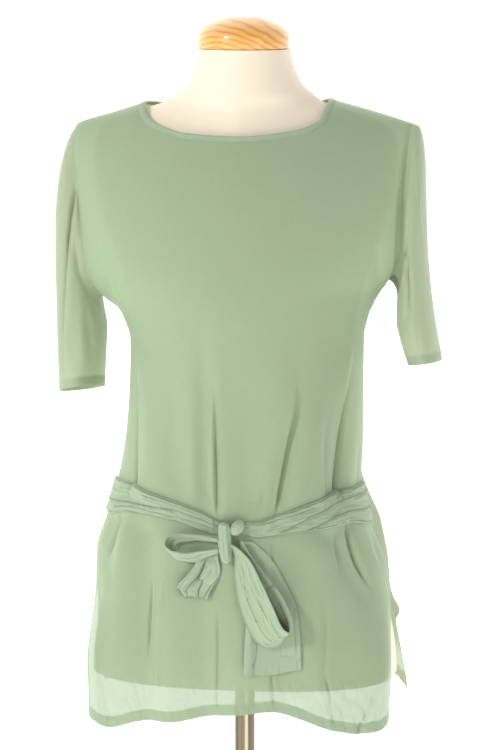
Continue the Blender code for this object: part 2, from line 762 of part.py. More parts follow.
def sleeve_grid(loop, side):
    """Rings from the armhole loop to the cuff."""
    shape = SLEEVES[side]
    turns = 2 * ARM_ROWS
    levels = (np.arange(SLEEVE_RINGS + 1) / SLEEVE_RINGS) ** 1.15

    def ring(s, angle):
        top = np.array([side * through(shape, "s", "top_x", s), 0, through(shape, "s", "top_z", s)])
        low = np.array([side * through(shape, "s", "low_x", s), 0, through(shape, "s", "low_z", s)])
        deep, tilt = through(shape, "s", "deep", s), through(shape, "s", "tilt", s)
        bulge = np.sign(np.sin(angle)) * np.abs(np.sin(angle)) ** 0.9
        across = np.stack([np.zeros(turns), -deep * bulge, deep * tilt * bulge], -1)
        return (top + low) / 2 + (top - low) / 2 * np.cos(angle)[:, None] + across

    first = np.array([side * shape["top_x"][0], 0, shape["top_z"][0]])
    last = np.array([side * shape["low_x"][0], 0, shape["low_z"][0]])
    middle = (first + last) / 2
    reach = np.linalg.norm(first - last) / 2
    cosine = np.clip((loop - middle) @ unit(first - last) / reach, -1, 1)
    own = np.arccos(cosine)
    own[ARM_ROWS + 1 :] = 2 * math.pi - own[ARM_ROWS + 1 :]
    even = np.linspace(0, 2 * math.pi, turns, endpoint=False)
    rings = []
    for s in levels:
        angle = own + (even - own) * ease(s / 0.5)
        rings.append(ring(s, angle) + (loop - ring(0.0, own)) * (1 - ease(s / 0.45)))
    return np.array(rings)


def part_seam(outer, inner, index, shift):
    """Moves the same row or column of both grids by the same shift."""
    outer[index] += shift
    inner[index] += shift


def build_blouse():
    front, back = make_panel(-1), make_panel(1)
    sleeves = {}
    for side in (-1, 1):
        loop = armhole_loop(front, back, side, "outer")
        grid = sleeve_grid(loop, side)
        normal = grid_normals(grid, ring=True)
        middle = grid.mean(axis=1, keepdims=True)
        normal *= np.sign(((grid - middle) * normal).sum(-1).mean())
        shared = unit(normal[0] + 2 * armhole_loop(front, back, side, "normal"))
        shared[ARM_ROWS] = (0.0, 0.0, -1.0)
        shared = unit(np.roll(shared, 1, 0) + 2 * shared + np.roll(shared, -1, 0))
        shared[[0, ARM_ROWS], 1] = 0.0
        shared = unit(shared)
        normal[0] = shared
        column = 0 if side < 0 else -1
        front["normal"][: ARM_ROWS + 1, column] = shared[: ARM_ROWS + 1]
        back["normal"][1:ARM_ROWS, column] = shared[:ARM_ROWS:-1]
        back["normal"][[0, ARM_ROWS], column] = shared[[0, ARM_ROWS]]
        tangent = np.roll(loop, -1, axis=0) - np.roll(loop, 1, axis=0)
        away = unit(np.cross(tangent, shared))
        away *= np.sign((away * (side, 0, 0)).sum(-1).mean())
        sleeves[side] = {"grid": grid, "normal": normal, "away": away}

    for panel, face in ((front, -1), (back, 1)):
        outer = panel["outer"].copy()
        inner = outer - panel["normal"] * CLOTH
        outer[-2:] += panel["normal"][-2:] * HEM_EXTRA
        part_seam(outer, inner, (0, panel["seam"]), (0, face * SEAM_GAP / 2, 0))
        for side, column in ((-1, 0), (1, -1)):
            away = sleeves[side]["away"]
            edge = away[: ARM_ROWS + 1] if face < 0 else np.concatenate([away[:1], away[:ARM_ROWS - 1:-1]])
            part_seam(outer, inner, (slice(0, ARM_ROWS + 1), column), -edge * SEAM_GAP / 2)
            rows = np.nonzero(panel["closed"][:, 0 if side < 0 else 1])[0]
            part_seam(outer, inner, (rows, column), (0, face * SEAM_GAP / 2, 0))
        wall_mesh("front_panel" if face < 0 else "back_panel", outer, inner)

    for side, name in ((-1, "sleeve_left"), (1, "sleeve_right")):
        sleeve = sleeves[side]
        outer = sleeve["grid"].copy()
        inner = outer - sleeve["normal"] * CLOTH
        part_seam(outer, inner, 0, sleeve["away"] * SEAM_GAP / 2)
        wall_mesh(name, outer, inner, ring=True)
    return front, back


def tie_grid(front, rows, cells, pleats):
    """A tie lying on the front, with a station on each of its columns and lengthwise pleats."""
    ends = alpha_at(rows["x"][[0, -1]], (rows["up"] + rows["low"])[[0, -1]] / 2)
    ends = np.clip(ends, -TIE_END, TIE_END)
    inside = front.angles[(front.angles > ends[0] + 0.03) & (front.angles < ends[1] - 0.03)]
    alpha = np.concatenate([ends[:1], inside, ends[1:]])[:, None]
    x = np.interp(alpha, *column_places(rows))
    v = np.linspace(0, 1, cells + 1)[None, :]
    up, low, pleat = (through(rows, "x", name, x) for name in ("up", "low", "pleat"))
    out = TIE_GAP + pleat * (0.5 - 0.5 * np.cos(2 * math.pi * pleats * v))
    z = up + (low - up) * v
    return front.at(alpha, z, out), front.at(alpha, z, out + TIE_WALL)


def column_places(rows):
    """The angles of a tie's table rows, and their x."""
    x = np.linspace(rows["x"][0], rows["x"][-1], 60)
    middle = (through(rows, "x", "up", x) + through(rows, "x", "low", x)) / 2
    return alpha_at(x, middle), x


def creased(v):
    """Three lengthwise waves across a tail."""
    return np.cos(3 * math.pi * v) ** 2


def turned_edge(v):
    """One ridge beside a tail's left edge."""
    return np.exp(-(((v - 0.07) / 0.09) ** 2))


def tail_grid(front, rows, stations, cells, wave, height):
    """A flat end of a tie hanging on the front; the wave lifts its lengthwise folds by the given height."""
    t = np.linspace(0, 1, stations + 1)[:, None]
    v = np.linspace(0, 1, cells + 1)[None, :]
    left, right = through(rows, "t", "left", t), through(rows, "t", "right", t)
    x = left + (right - left) * v
    z = through(rows, "t", "z", t) * np.ones_like(v)
    out = through(rows, "t", "out", t) + height * wave(v) * ease(t * 3)
    return front.over(x, z, out), front.over(x, z, out + CLOTH)


def loop_grid(front, rows, stations, cells, camber):
    """A loop of the bow: a band whose near rim runs out from the knot and back."""
    t = np.linspace(0, 1, stations + 1)
    near = front.over(*(through(rows, "t", name, t) for name in ("x", "z", "out")))
    far = front.over(*(through(rows, "t", name, t) for name in ("far_x", "far_z", "far_out")))
    v = np.linspace(0, 1, cells + 1)
    middle = near[:, None] + (far - near)[:, None] * v[None, :, None]
    normal = grid_normals(middle)
    crown = camber * 4 * v * (1 - v) * np.sin(math.pi * np.clip(t, 0.02, 0.98))[:, None]
    middle = middle + normal * crown[..., None]
    return middle + normal * CLOTH / 2, middle - normal * CLOTH / 2


def lump_mesh(name, front, rows, stations, sides, along_x):
    """A closed lump with oval sections along a line on the front."""
    t = 0.5 - 0.5 * np.cos(np.linspace(0, math.pi, stations + 1))
    angle = np.linspace(0, 2 * math.pi, sides, endpoint=False)
    columns = [through(rows, "t", key, t)[:, None] for key in LUMP_COLUMNS.split()[1:]]
    x, z, half, deep, out = columns
    side_step = half * np.cos(angle)
    if along_x:
        rings = front.over(x + 0 * side_step, z + side_step, out + deep * np.sin(angle))
    else:
        rings = front.over(x + side_step, z + 0 * side_step, out + deep * np.sin(angle))
    count = (stations + 1) * sides
    points = np.concatenate([rings.reshape(-1, 3), [rings[0].mean(0)], [rings[-1].mean(0)]])
    faces = []
    for i in range(stations):
        for k in range(sides):
            a, b = i * sides + k, i * sides + (k + 1) % sides
            faces += [(a, a + sides, b + sides), (a, b + sides, b)]
    for k in range(sides):
        after = (k + 1) % sides
        faces.append((count, k, after))
        faces.append((count + 1, stations * sides + after, stations * sides + k))
    return add_mesh(name, points, faces)


def build_bow(panel):
    front = Front(panel["angles"], panel["outer"], panel["normal"])
    wall_mesh("tie_left", *tie_grid(front, LEFT_TIE, 10, 3))
    wall_mesh("tie_right", *tie_grid(front, RIGHT_TIE, 10, 3))
    wall_mesh("tail_left", *tail_grid(front, LEFT_TAIL, 8, 8, creased, 0.0022))
    wall_mesh("tail_right", *tail_grid(front, RIGHT_TAIL, 10, 9, turned_edge, 0.0030))
    wall_mesh("loop_left", *loop_grid(front, LEFT_LOOP, 22, 4, 0.0012))
    wall_mesh("loop_right", *loop_grid(front, RIGHT_LOOP, 30, 5, 0.0015))
    lump_mesh("knot_wrap", front, KNOT_WRAP, 8, 10, along_x=False)
    lump_mesh("knot_top", front, KNOT_TOP, 7, 10, along_x=True)


def build_binding(front, back):
    """The narrow band round the neck, laid on from the panels' edges towards the opening."""
    first, count = front["cells"][0], front["cells"][1]
    ahead = slice(first, first + count + 1)
    first, count_back = back["cells"][0], back["cells"][1]
    behind = slice(first + count_back - 1, first, -1)
    line = np.concatenate([front["outer"][0, ahead], back["outer"][0, behind]])
    normal = np.concatenate([front["normal"][0, ahead], back["normal"][0, behind]])
    for index in (0, count):
        line[index, 1] = 0.0
        normal[index] = unit(np.array([math.copysign(0.28, line[index, 0]), 0, 1]))
    for _ in range(2):
        normal = unit(np.roll(normal, 1, 0) + 2 * normal + np.roll(normal, -1, 0))
    tangent = unit(np.roll(line, -1, 0) - np.roll(line, 1, 0))
    inward = unit(np.cross(normal, tangent))
    inward *= np.sign(((line.mean(0) + (0, 0, 0.1) - line) * inward).sum(-1))[:, None]
    section = [
        (SEAM_GAP, 0.0006),
        (0.5 * BINDING_WIDTH, 0.0012),
        (0.95 * BINDING_WIDTH, 0.0007),
        (BINDING_WIDTH, 0.0012 - 0.5 * BINDING_WALL),
        (0.90 * BINDING_WIDTH, 0.0012 - BINDING_WALL),
        (SEAM_GAP, 0.0012 - BINDING_WALL),
    ]
    rings = [line + inward * b + normal * n for b, n in section]
    grid = np.array(rings)
    count, sides = len(line), len(section)
    faces = []
    for i in range(sides):
        for k in range(count):
            a, b = i * count + k, i * count + (k + 1) % count
            c, d = (i + 1) % sides * count + k, (i + 1) % sides * count + (k + 1) % count
            faces += [(a, b, d), (a, d, c)]
    add_mesh("neck_binding", grid.reshape(-1, 3), faces)


def build_form():
    """The limbless form: level rings, closed flat above and below."""
    levels = []
    for low, high in zip(FORM["z"], FORM["z"][1:]):
        steps = 2 if high - low > FORM_STEP else 1
        levels += list(np.linspace(low, high, steps + 1)[:-1])
    levels = np.array(levels + [NECK_TOP])
    turns = 2 * math.pi * np.arange(FORM_SIDES) / FORM_SIDES
    columns = [through(FORM, "z", key, levels)[:, None] for key in ("half", "front", "back", "round")]
    half, front, back, round_off = columns
    cosine, sine = np.cos(turns), np.sin(turns)
    x = half * np.sign(cosine) * np.abs(cosine) ** (2 / round_off)
    y = np.where(sine < 0, front, back) * np.sign(sine) * np.abs(sine) ** (2 / round_off)
    rings = np.stack([x, y, levels[:, None] + 0 * x], -1)
    sides = len(turns)
    last = (len(levels) - 1) * sides
    points = np.concatenate([rings.reshape(-1, 3), [(0, 0, levels[0])], [(0, NECK_Y, levels[-1])]])
    faces = []
    for i in range(len(levels) - 1):
        for k in range(sides):
            a, b = i * sides + k, i * sides + (k + 1) % sides
            faces += [(a, b, b + sides), (a, b + sides, a + sides)]
    for k in range(sides):
        after = (k + 1) % sides
        faces.append((len(points) - 2, after, k))
        faces.append((len(points) - 1, last + k, last + after))
    return add_mesh("form_body", points, faces)


def build_stand():
    """Neck cap, pole and foot, all turned."""
    cap = turned_mesh("neck_cap", [(radius, NECK_TOP + SEAM_GAP + rise) for radius, rise in CAP], 32)
    cap.location.y = NECK_Y

    foot_top = SOCKET_HEIGHT
    foot = [
        (FOOT_RADIUS - 0.002, 0.0),
        (FOOT_RADIUS, 0.002),
        (FOOT_RADIUS, FOOT_RIM - 0.002),
        (FOOT_RADIUS - 0.002, FOOT_RIM),
        (0.60 * FOOT_RADIUS, FOOT_RIM + 0.004),
        (SOCKET_RADIUS + 0.004, FOOT_RIM + 0.008),
        (SOCKET_RADIUS, FOOT_RIM + 0.011),
        (SOCKET_RADIUS, foot_top - 0.002),
        (SOCKET_RADIUS - 0.002, foot_top),
    ]
    turned_mesh("foot", foot, 48)
    turned_mesh("pole", [(POLE_RADIUS, foot_top + SEAM_GAP), (POLE_RADIUS, FORM_BOTTOM - SEAM_GAP)], 24)


# Finishes: colour, roughness and metallic
FINISHES = {
    "front_cloth": ((0.37, 0.47, 0.30), 0.75, 0.0),
    "jersey": ((0.36, 0.46, 0.30), 0.80, 0.0),
    "tie_cloth": ((0.36, 0.46, 0.30), 0.75, 0.0),
    "form_cover": ((0.86, 0.80, 0.69), 0.80, 0.0),
    "pine": ((0.72, 0.40, 0.15), 0.35, 0.0),
    "steel": ((0.55, 0.54, 0.52), 0.35, 1.0),
}
NODE_FINISH = {
    "front_panel": "front_cloth",
    "back_panel": "jersey",
    "sleeve_left": "jersey",
    "sleeve_right": "jersey",
    "neck_binding": "front_cloth",
    "tie_left": "tie_cloth",
    "tie_right": "tie_cloth",
    "tail_left": "tie_cloth",
    "tail_right": "tie_cloth",
    "loop_left": "tie_cloth",
    "loop_right": "tie_cloth",
    "knot_wrap": "tie_cloth",
    "knot_top": "tie_cloth",
    "form_body": "form_cover",
    "neck_cap": "pine",
    "pole": "steel",
    "foot": "steel",
}
STAND_NODES = ("form_body", "neck_cap", "pole", "foot")


def finish_nodes():
    """Gives every piece its material and sets the blouse in place, a little off the form's middle."""
    for finish, (colour, roughness, metallic) in FINISHES.items():
        material = bpy.data.materials.new(finish)
        material.use_nodes = True
        shader = material.node_tree.nodes["Principled BSDF"]
        shader.inputs["Base Color"].default_value = (*colour, 1.0)
        shader.inputs["Roughness"].default_value = roughness
        shader.inputs["Metallic"].default_value = metallic
    for name, finish in NODE_FINISH.items():
        piece = bpy.data.objects[name]
        piece.data.materials.append(bpy.data.materials[finish])
        if name not in STAND_NODES:
            piece.location = (WORN_ASKEW, 0.0, WORN_LIFT)


def clear_scene():
    for thing in list(bpy.data.objects):
        bpy.data.objects.remove(thing, do_unlink=True)


def main():
    clear_scene()
    front, back = build_blouse()
    build_binding(front, back)
    build_bow(front)
    build_form()
    build_stand()
    finish_nodes()


main()
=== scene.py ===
"""The blouse and its dress form as they look, in cloth, wood and steel, with floor, light and camera.

The panels, sleeves, ties and bow repeat the part's own tables on finer grids, with finer creases.
Metres, +Z up, front towards -Y.
"""

import math

import bpy
import numpy as np
from mathutils import Matrix, Vector


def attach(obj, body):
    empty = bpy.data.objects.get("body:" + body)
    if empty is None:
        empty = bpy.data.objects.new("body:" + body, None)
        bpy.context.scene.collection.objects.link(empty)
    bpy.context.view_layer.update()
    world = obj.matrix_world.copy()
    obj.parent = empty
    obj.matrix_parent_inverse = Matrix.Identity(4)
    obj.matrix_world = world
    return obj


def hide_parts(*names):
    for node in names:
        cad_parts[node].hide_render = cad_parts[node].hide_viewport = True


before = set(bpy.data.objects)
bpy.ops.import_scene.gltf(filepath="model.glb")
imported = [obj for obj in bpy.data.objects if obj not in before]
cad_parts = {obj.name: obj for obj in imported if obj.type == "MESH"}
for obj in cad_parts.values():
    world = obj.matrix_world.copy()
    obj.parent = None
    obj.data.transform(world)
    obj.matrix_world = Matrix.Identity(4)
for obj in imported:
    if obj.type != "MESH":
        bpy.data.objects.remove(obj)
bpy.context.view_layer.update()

# Dimensions that the part has too
ROLL = 0.25
BACK_ROLL = 0.20
ARMHOLE_EASE = 0.080
ARMHOLE_DEPTH = 0.066
SLIT_TOP = 0.745
NECK_HEIGHT = 1.330
HEM_HEIGHT = 0.600
NECK_TOP = 1.408
NECK_Y = -0.012
SEAM_GAP = 0.0003
WORN = np.array([0.0035, 0.0, -0.0006])

# Grids of the fine cloth
ARM_ROWS = 54
FRONT_COLUMNS = (104, 196, 112)
FRONT_LOWER_ROWS = 150
BACK_COLUMNS = (52, 72, 52)
BACK_LOWER_ROWS = 120
SLEEVE_RINGS = 84
HEM_TURN = 0.0009  # the turned-up layer lies this far behind the outer one
HEM_DEPTH = {"front_cloth": 0.0135, "back_cloth": 0.0180, "cuff": 0.0110}
FACING_COLUMNS = 4
TAIL_WALL = 0.0014
LOOP_WALL = 0.0016

# Seams: how deep they are drawn in, and how far beside them
ARM_SEAM_WIDTH = 0.0045
SLEEVE_SEAM_WIDTH = 0.0060
SIDE_SEAM = {"deep": 0.0007, "wide": 0.0022}
SHOULDER_SEAM = {"deep": 0.0006, "wide": 0.0020}

# Grooves, with the painted shade that darkens tight creases, and stitches
PANEL_SHADE_DEPTHS = (0.00016, 0.00100)  # the depths at which a groove starts to darken and is darkest
RIBBON_SHADE_DEPTHS = (0.00003, 0.00030)
# The tone of the painted shade in tight creases
CREASE_SHADE_TONE = (0.085, 0.110, 0.058, 1.0)
STITCH = {"length": 0.0024, "pitch": 0.0031, "width": 0.0006}
STITCH_SHAPE = [(0.0, 0.0), (0.16, 0.75), (0.5, 1.0), (0.84, 0.75), (1.0, 0.0)]  # along it, and its rise
STITCH_ROWS = (0.0098, 0.0078)  # how far each row lies from the cuff's edge

# The pole's look and the photograph's height in pixels
POLE_STREAKS = (1.1, 0.4, 0.0)
# A painted highlight line on the pole, standing in for a reflection: its offset from the middle, its core and
# its edge
PAINTED_POLE_HIGHLIGHT = {"offset": 0.0035, "core": 0.0012, "edge": 0.0026}
PHOTO_HEIGHT = 750

# The neck binding's outline: how far inward from the edge, and how far out from the cloth
BINDING_SECTION = [
    (-0.0012, 0.0002), (-0.0006, 0.0011), (0.0006, 0.0007), (0.0016, 0.0015),
    (0.0034, 0.0018), (0.0052, 0.0015), (0.0064, 0.0006), (0.0068, -0.0004),
    (0.0060, -0.0014), (0.0030, -0.0018), (0.0004, -0.0014), (-0.0010, -0.0008),
]


def table(names, rows):
    """Named columns of numbers from rows, in rising order of the first column."""
    ordered = np.array(sorted(rows), float)
    return dict(zip(names.split(), ordered.T))


def listed(names, rows):
    """Rows of numbers with named entries."""
    return [dict(zip(names.split(), row)) for row in rows]


def through(rows, key, name, at):
    """The named column as a smooth curve over the key column that never swings past its rows."""
    x, y = rows[key], rows[name]
    step = np.diff(x)
    slope = np.diff(y) / step
    tangent = np.zeros_like(y)
    tangent[0], tangent[-1] = slope[0], slope[-1]
    both = slope[:-1] * slope[1:] > 0
    pairs = slope[:-1][both], slope[1:][both]
    tangent[1:-1][both] = 2 * pairs[0] * pairs[1] / (pairs[0] + pairs[1])
    at = np.clip(at, x[0], x[-1])
    i = np.clip(np.searchsorted(x, at) - 1, 0, len(step) - 1)
    t = (at - x[i]) / step[i]
    start = (2 * t**3 - 3 * t**2 + 1) * y[i] + (t**3 - 2 * t**2 + t) * step[i] * tangent[i]
    end = (3 * t**2 - 2 * t**3) * y[i + 1] + (t**3 - t**2) * step[i] * tangent[i + 1]
    return start + end


def curves(rows, key, names, at):
    """Several named columns as smooth curves over the key column."""
    return [through(rows, key, name, at) for name in names.split()]


def ease(t):
    """0 to 1 with flat ends."""
    t = np.clip(t, 0.0, 1.0)
    return t * t * (3 - 2 * t)


def unit(v):
    return v / np.maximum(np.linalg.norm(v, axis=-1, keepdims=True), 1e-12)


def bell(t):
    """1 in the middle, falling softly to 0 on both sides."""
    return np.exp(-(t**2))


def runs(points, axis):
    """How far each point lies from the first one along the given axis."""
    steps = np.linalg.norm(np.diff(points, axis=axis), axis=-1)
    return np.insert(np.cumsum(steps, axis=axis), 0, 0.0, axis=axis)


# The blouse's outer edges, seen from the front
LEFT_EDGE = table("z x", [
    (1.315, 0.2085), (1.298, 0.2075), (1.229, 0.199), (1.178, 0.1925), (1.143, 0.1875), (1.116, 0.181),
    (1.105, 0.1735), (1.098, 0.161), (1.083, 0.1512), (1.057, 0.1435), (0.988, 0.146), (0.95, 0.149),
    (0.906, 0.1555), (0.876, 0.1625), (0.833, 0.176), (0.79, 0.189), (0.719, 0.1915), (0.667, 0.195),
    (0.615, 0.1928), (0.56, 0.1915),
])
RIGHT_EDGE = table("z x", [
    (1.32, 0.199), (1.273, 0.194), (1.233, 0.19), (1.186, 0.189), (1.1635, 0.188), (1.14, 0.181),
    (1.1268, 0.1706), (1.118, 0.1635), (1.105, 0.156), (1.086, 0.148), (1.06, 0.143), (0.982, 0.1425),
    (0.932, 0.1425), (0.894, 0.141), (0.869, 0.1446), (0.825, 0.156), (0.7815, 0.1735), (0.731, 0.179),
    (0.698, 0.1808), (0.6537, 0.1828), (0.56, 0.18),
])
UNDERARM = {-1: 1.105, 1: 1.1268}
BODY = table("z half front back", [
    (1.36, 0.205, 0.136, 0.112), (1.3, 0.203, 0.137, 0.112), (1.25, 0.197, 0.139, 0.112),
    (1.2, 0.186, 0.142, 0.111), (1.15, 0.17, 0.147, 0.11), (1.1, 0.154, 0.151, 0.11),
    (1.05, 0.145, 0.152, 0.111), (0.98, 0.145, 0.15, 0.112), (0.9, 0.149, 0.145, 0.114),
    (0.85, 0.158, 0.139, 0.118), (0.8, 0.174, 0.139, 0.126), (0.74, 0.185, 0.141, 0.134),
    (0.66, 0.189, 0.141, 0.136), (0.56, 0.186, 0.137, 0.134),
])
CREST = table("x z", [
    (-0.212, 1.315), (-0.205, 1.3195), (-0.185, 1.326), (-0.16, 1.333), (-0.13, 1.3425),
    (-0.065, 1.357), (0.0, 1.362), (0.06, 1.357), (0.106, 1.3475), (0.16, 1.333), (0.205, 1.319),
])
FRONT_NECK = table("x z", [
    (-0.13, 1.3425), (-0.1215, 1.327), (-0.105, 1.317), (-0.064, 1.3065), (0.0, 1.3035),
    (0.055, 1.3085), (0.082, 1.315), (0.098, 1.324), (0.106, 1.3475),
])
BACK_NECK = table("x z", [
    (-0.13, 1.3425), (-0.1, 1.337), (0.0, 1.333), (0.08, 1.339), (0.106, 1.3475),
])
NECK_POINTS = (-0.13, 0.106)
FRONT_HEM = table("x z", [
    (-0.2, 0.591), (-0.185, 0.589), (-0.165, 0.5835), (-0.124, 0.597), (-0.1, 0.603), (-0.075, 0.606),
    (-0.04, 0.614), (0.0, 0.621), (0.04, 0.624), (0.07, 0.617), (0.125, 0.5945), (0.15, 0.589),
    (0.17, 0.589), (0.185, 0.594),
])
BACK_HEM = table("x z", [
    (-0.2, 0.594), (-0.1, 0.588), (0.0, 0.586), (0.06, 0.59), (0.12, 0.6), (0.16, 0.609),
    (0.171, 0.609), (0.177, 0.6), (0.183, 0.592),
])
SLIT_FALL = table("z front back left right", [
    (0.56, 0.054, 0.085, 0.004, 0.016), (0.602, 0.05, 0.072, 0.004, 0.0143),
    (0.646, 0.044, 0.054, 0.003, 0.0074), (0.698, 0.024, 0.028, 0.002, 0.0026),
    (0.713, 0.015, 0.018, 0.001, 0.0087), (0.73, 0.005, 0.006, 0.0, 0.003), (0.745, 0.0, 0.0, 0.0, 0.0),
])
POUCH = table("z out", [(0.755, 0.0), (0.79, 0.005), (0.83, 0.012), (0.862, 0.006), (0.888, 0.0)])
POUCH_ANGLE = math.radians(72)
POUCH_REACH = math.radians(11)

# The part's own soft folds
FOLD_NAMES = "top_x top_z low_x low_z half height rise fall"
FRONT_FOLDS = listed(FOLD_NAMES, [
    (-0.036, 1.1, -0.036, 0.845, 0.01, -0.0085, 0.6, 0.06),
    (-0.016, 1.08, -0.016, 0.845, 0.014, 0.0055, 0.6, 0.08),
    (0.078, 1.01, 0.046, 0.85, 0.012, -0.0085, 0.5, 0.06),
    (0.095, 1.02, 0.066, 0.85, 0.014, 0.0065, 0.5, 0.08),
    (0.13, 1.02, 0.116, 0.855, 0.01, -0.0085, 0.5, 0.06),
    (-0.138, 1.08, -0.134, 0.86, 0.011, -0.007, 0.4, 0.06),
    (-0.104, 1.06, -0.1, 0.855, 0.018, 0.005, 0.6, 0.08),
    (0.022, 1.08, 0.016, 0.845, 0.013, -0.004, 0.7, 0.08),
    (-0.07, 1.06, -0.066, 0.845, 0.014, -0.0035, 0.6, 0.08),
    (-0.112, 0.86, -0.116, 0.52, 0.016, -0.0055, 0.1, 0.35),
    (-0.08, 0.86, -0.076, 0.5, 0.018, 0.0055, 0.1, 0.35),
    (-0.04, 0.85, -0.03, 0.5, 0.016, -0.005, 0.1, 0.35),
    (0.004, 0.84, 0.01, 0.5, 0.02, 0.004, 0.12, 0.35),
    (0.058, 0.84, 0.062, 0.5, 0.016, -0.005, 0.1, 0.35),
    (0.092, 0.85, 0.112, 0.52, 0.018, 0.005, 0.1, 0.35),
    (0.106, 0.85, 0.164, 0.73, 0.011, -0.006, 0.15, 0.3),
    (-0.158, 0.85, -0.172, 0.75, 0.011, -0.006, 0.15, 0.3),
    (-0.14, 0.85, -0.15, 0.64, 0.016, 0.0045, 0.15, 0.4),
])
BACK_FOLDS = listed(FOLD_NAMES, [
    (-0.1, 1.16, -0.09, 0.48, 0.022, 0.0065, 0.45, 0.2),
    (-0.045, 1.12, -0.05, 0.48, 0.02, -0.0065, 0.45, 0.2),
    (0.01, 1.14, 0.004, 0.48, 0.022, 0.0065, 0.45, 0.2),
    (0.06, 1.12, 0.066, 0.48, 0.02, -0.0065, 0.45, 0.2),
    (0.11, 1.16, 0.118, 0.48, 0.02, 0.006, 0.45, 0.2),
])
PRESSED = table("x z", [
    (-0.17, 0.861), (-0.075, 0.866), (0.0, 0.85), (0.075, 0.858), (0.15, 0.862),
])
PRESSED_REACH = 0.024
PRESSED_SHARE = 0.7

# Fine creases: a bent line through three points, its half widths to the left and right, and its height;
# rise and fall are the shares of its length over which it starts and dies out
CREASE_NAMES = "top_x top_z mid_x mid_z low_x low_z left right height rise fall"
FRONT_CREASES = listed(CREASE_NAMES, [
    (-0.0245, 1.046, -0.0222, 0.956, -0.0221, 0.845, 0.014, 0.001, 0.004, 0.55, 0.02),
    (-0.0215, 1.046, -0.0192, 0.956, -0.0191, 0.845, 0.001, 0.008, -0.0038, 0.55, 0.02),
    (0.0756, 1.03, 0.0644, 0.956, 0.0449, 0.85, 0.012, 0.0009, 0.004, 0.3, 0.02),
    (0.078, 1.03, 0.0668, 0.956, 0.0473, 0.85, 0.0009, 0.006, -0.0036, 0.3, 0.02),
    (0.137, 1.063, 0.1309, 0.997, 0.12, 0.87, 0.0022, 0.0013, -0.0066, 0.45, 0.02),
    (0.146, 1.05, 0.14, 0.98, 0.129, 0.87, 0.006, 0.006, 0.003, 0.45, 0.05),
    (0.1116, 1.004, 0.107, 0.938, 0.1121, 0.87, 0.005, 0.003, -0.003, 0.5, 0.05),
    (0.099, 1.004, 0.095, 0.938, 0.097, 0.87, 0.008, 0.008, 0.0022, 0.5, 0.05),
    (-0.1265, 1.04, -0.1311, 0.951, -0.1326, 0.868, 0.0014, 0.0028, -0.0056, 0.5, 0.02),
    (-0.137, 1.04, -0.139, 0.951, -0.14, 0.868, 0.006, 0.006, 0.0028, 0.5, 0.05),
    (0.0404, 0.91, 0.0343, 0.882, 0.0294, 0.85, 0.004, 0.003, -0.0026, 0.4, 0.02),
    (0.142, 0.95, 0.1402, 0.919, 0.1384, 0.88, 0.0018, 0.0012, -0.0046, 0.4, 0.02),
    (-0.033, 1.105, -0.0306, 1.04, -0.0263, 0.95, 0.012, 0.01, -0.0022, 0.5, 0.45),
    (0.042, 1.065, 0.035, 0.969, 0.025, 0.86, 0.01, 0.014, -0.0024, 0.5, 0.1),
    (0.0811, 1.086, 0.0778, 1.039, 0.0734, 0.99, 0.011, 0.011, -0.0016, 0.5, 0.4),
    (-0.0731, 1.084, -0.0753, 1.0, -0.0777, 0.88, 0.01, 0.01, -0.0016, 0.5, 0.2),
    (-0.147, 0.85, -0.1607, 0.816, -0.174, 0.775, 0.002, 0.003, -0.006, 0.06, 0.45),
    (-0.157, 0.85, -0.17, 0.822, -0.183, 0.785, 0.006, 0.006, 0.003, 0.1, 0.45),
    (-0.1019, 0.79, -0.107, 0.733, -0.1098, 0.66, 0.0024, 0.0024, -0.0036, 0.35, 0.4),
    (-0.0809, 0.81, -0.0898, 0.73, -0.0942, 0.61, 0.003, 0.005, 0.0024, 0.35, 0.2),
    (-0.0195, 0.77, -0.0195, 0.699, -0.0209, 0.62, 0.003, 0.003, -0.0026, 0.35, 0.15),
    (0.0445, 0.847, 0.0458, 0.81, 0.0472, 0.76, 0.0024, 0.003, -0.0018, 0.05, 0.4),
    (0.0451, 0.686, 0.0463, 0.657, 0.0487, 0.625, 0.0024, 0.003, -0.002, 0.3, 0.2),
    (0.1291, 0.85, 0.1402, 0.806, 0.169, 0.748, 0.002, 0.0013, -0.007, 0.04, 0.5),
    (0.134, 0.85, 0.145, 0.806, 0.173, 0.75, 0.0016, 0.009, 0.0034, 0.06, 0.5),
    (0.153, 0.836, 0.161, 0.808, 0.171, 0.78, 0.0018, 0.0014, -0.0054, 0.05, 0.4),
    (0.1192, 0.847, 0.1222, 0.816, 0.1263, 0.775, 0.003, 0.003, -0.0022, 0.05, 0.45),
    (0.1083, 0.775, 0.1066, 0.709, 0.1058, 0.64, 0.005, 0.004, -0.0024, 0.4, 0.35),
    (0.0987, 0.812, 0.0924, 0.76, 0.0859, 0.7, 0.006, 0.006, -0.0018, 0.35, 0.45),
    (0.176, 0.65, 0.1643, 0.624, 0.1509, 0.59, 0.003, 0.004, 0.003, 0.3, 0.1),
    (0.172, 0.645, 0.159, 0.62, 0.145, 0.588, 0.003, 0.003, -0.0026, 0.3, 0.1),
    (0.1069, 0.672, 0.1116, 0.639, 0.1175, 0.6, 0.0026, 0.003, -0.0024, 0.3, 0.15),
    (-0.1704, 0.66, -0.1662, 0.626, -0.1577, 0.59, 0.0036, 0.0036, -0.0022, 0.35, 0.15),
    (-0.1804, 0.69, -0.1768, 0.635, -0.1742, 0.58, 0.005, 0.003, 0.0022, 0.35, 0.1),
    (-0.156, 1.175, -0.15, 1.121, -0.139, 1.075, 0.009, 0.012, 0.004, 0.4, 0.45),
    (0.1633, 1.185, 0.1646, 1.158, 0.164, 1.125, 0.005, 0.006, -0.0048, 0.45, 0.2),
])

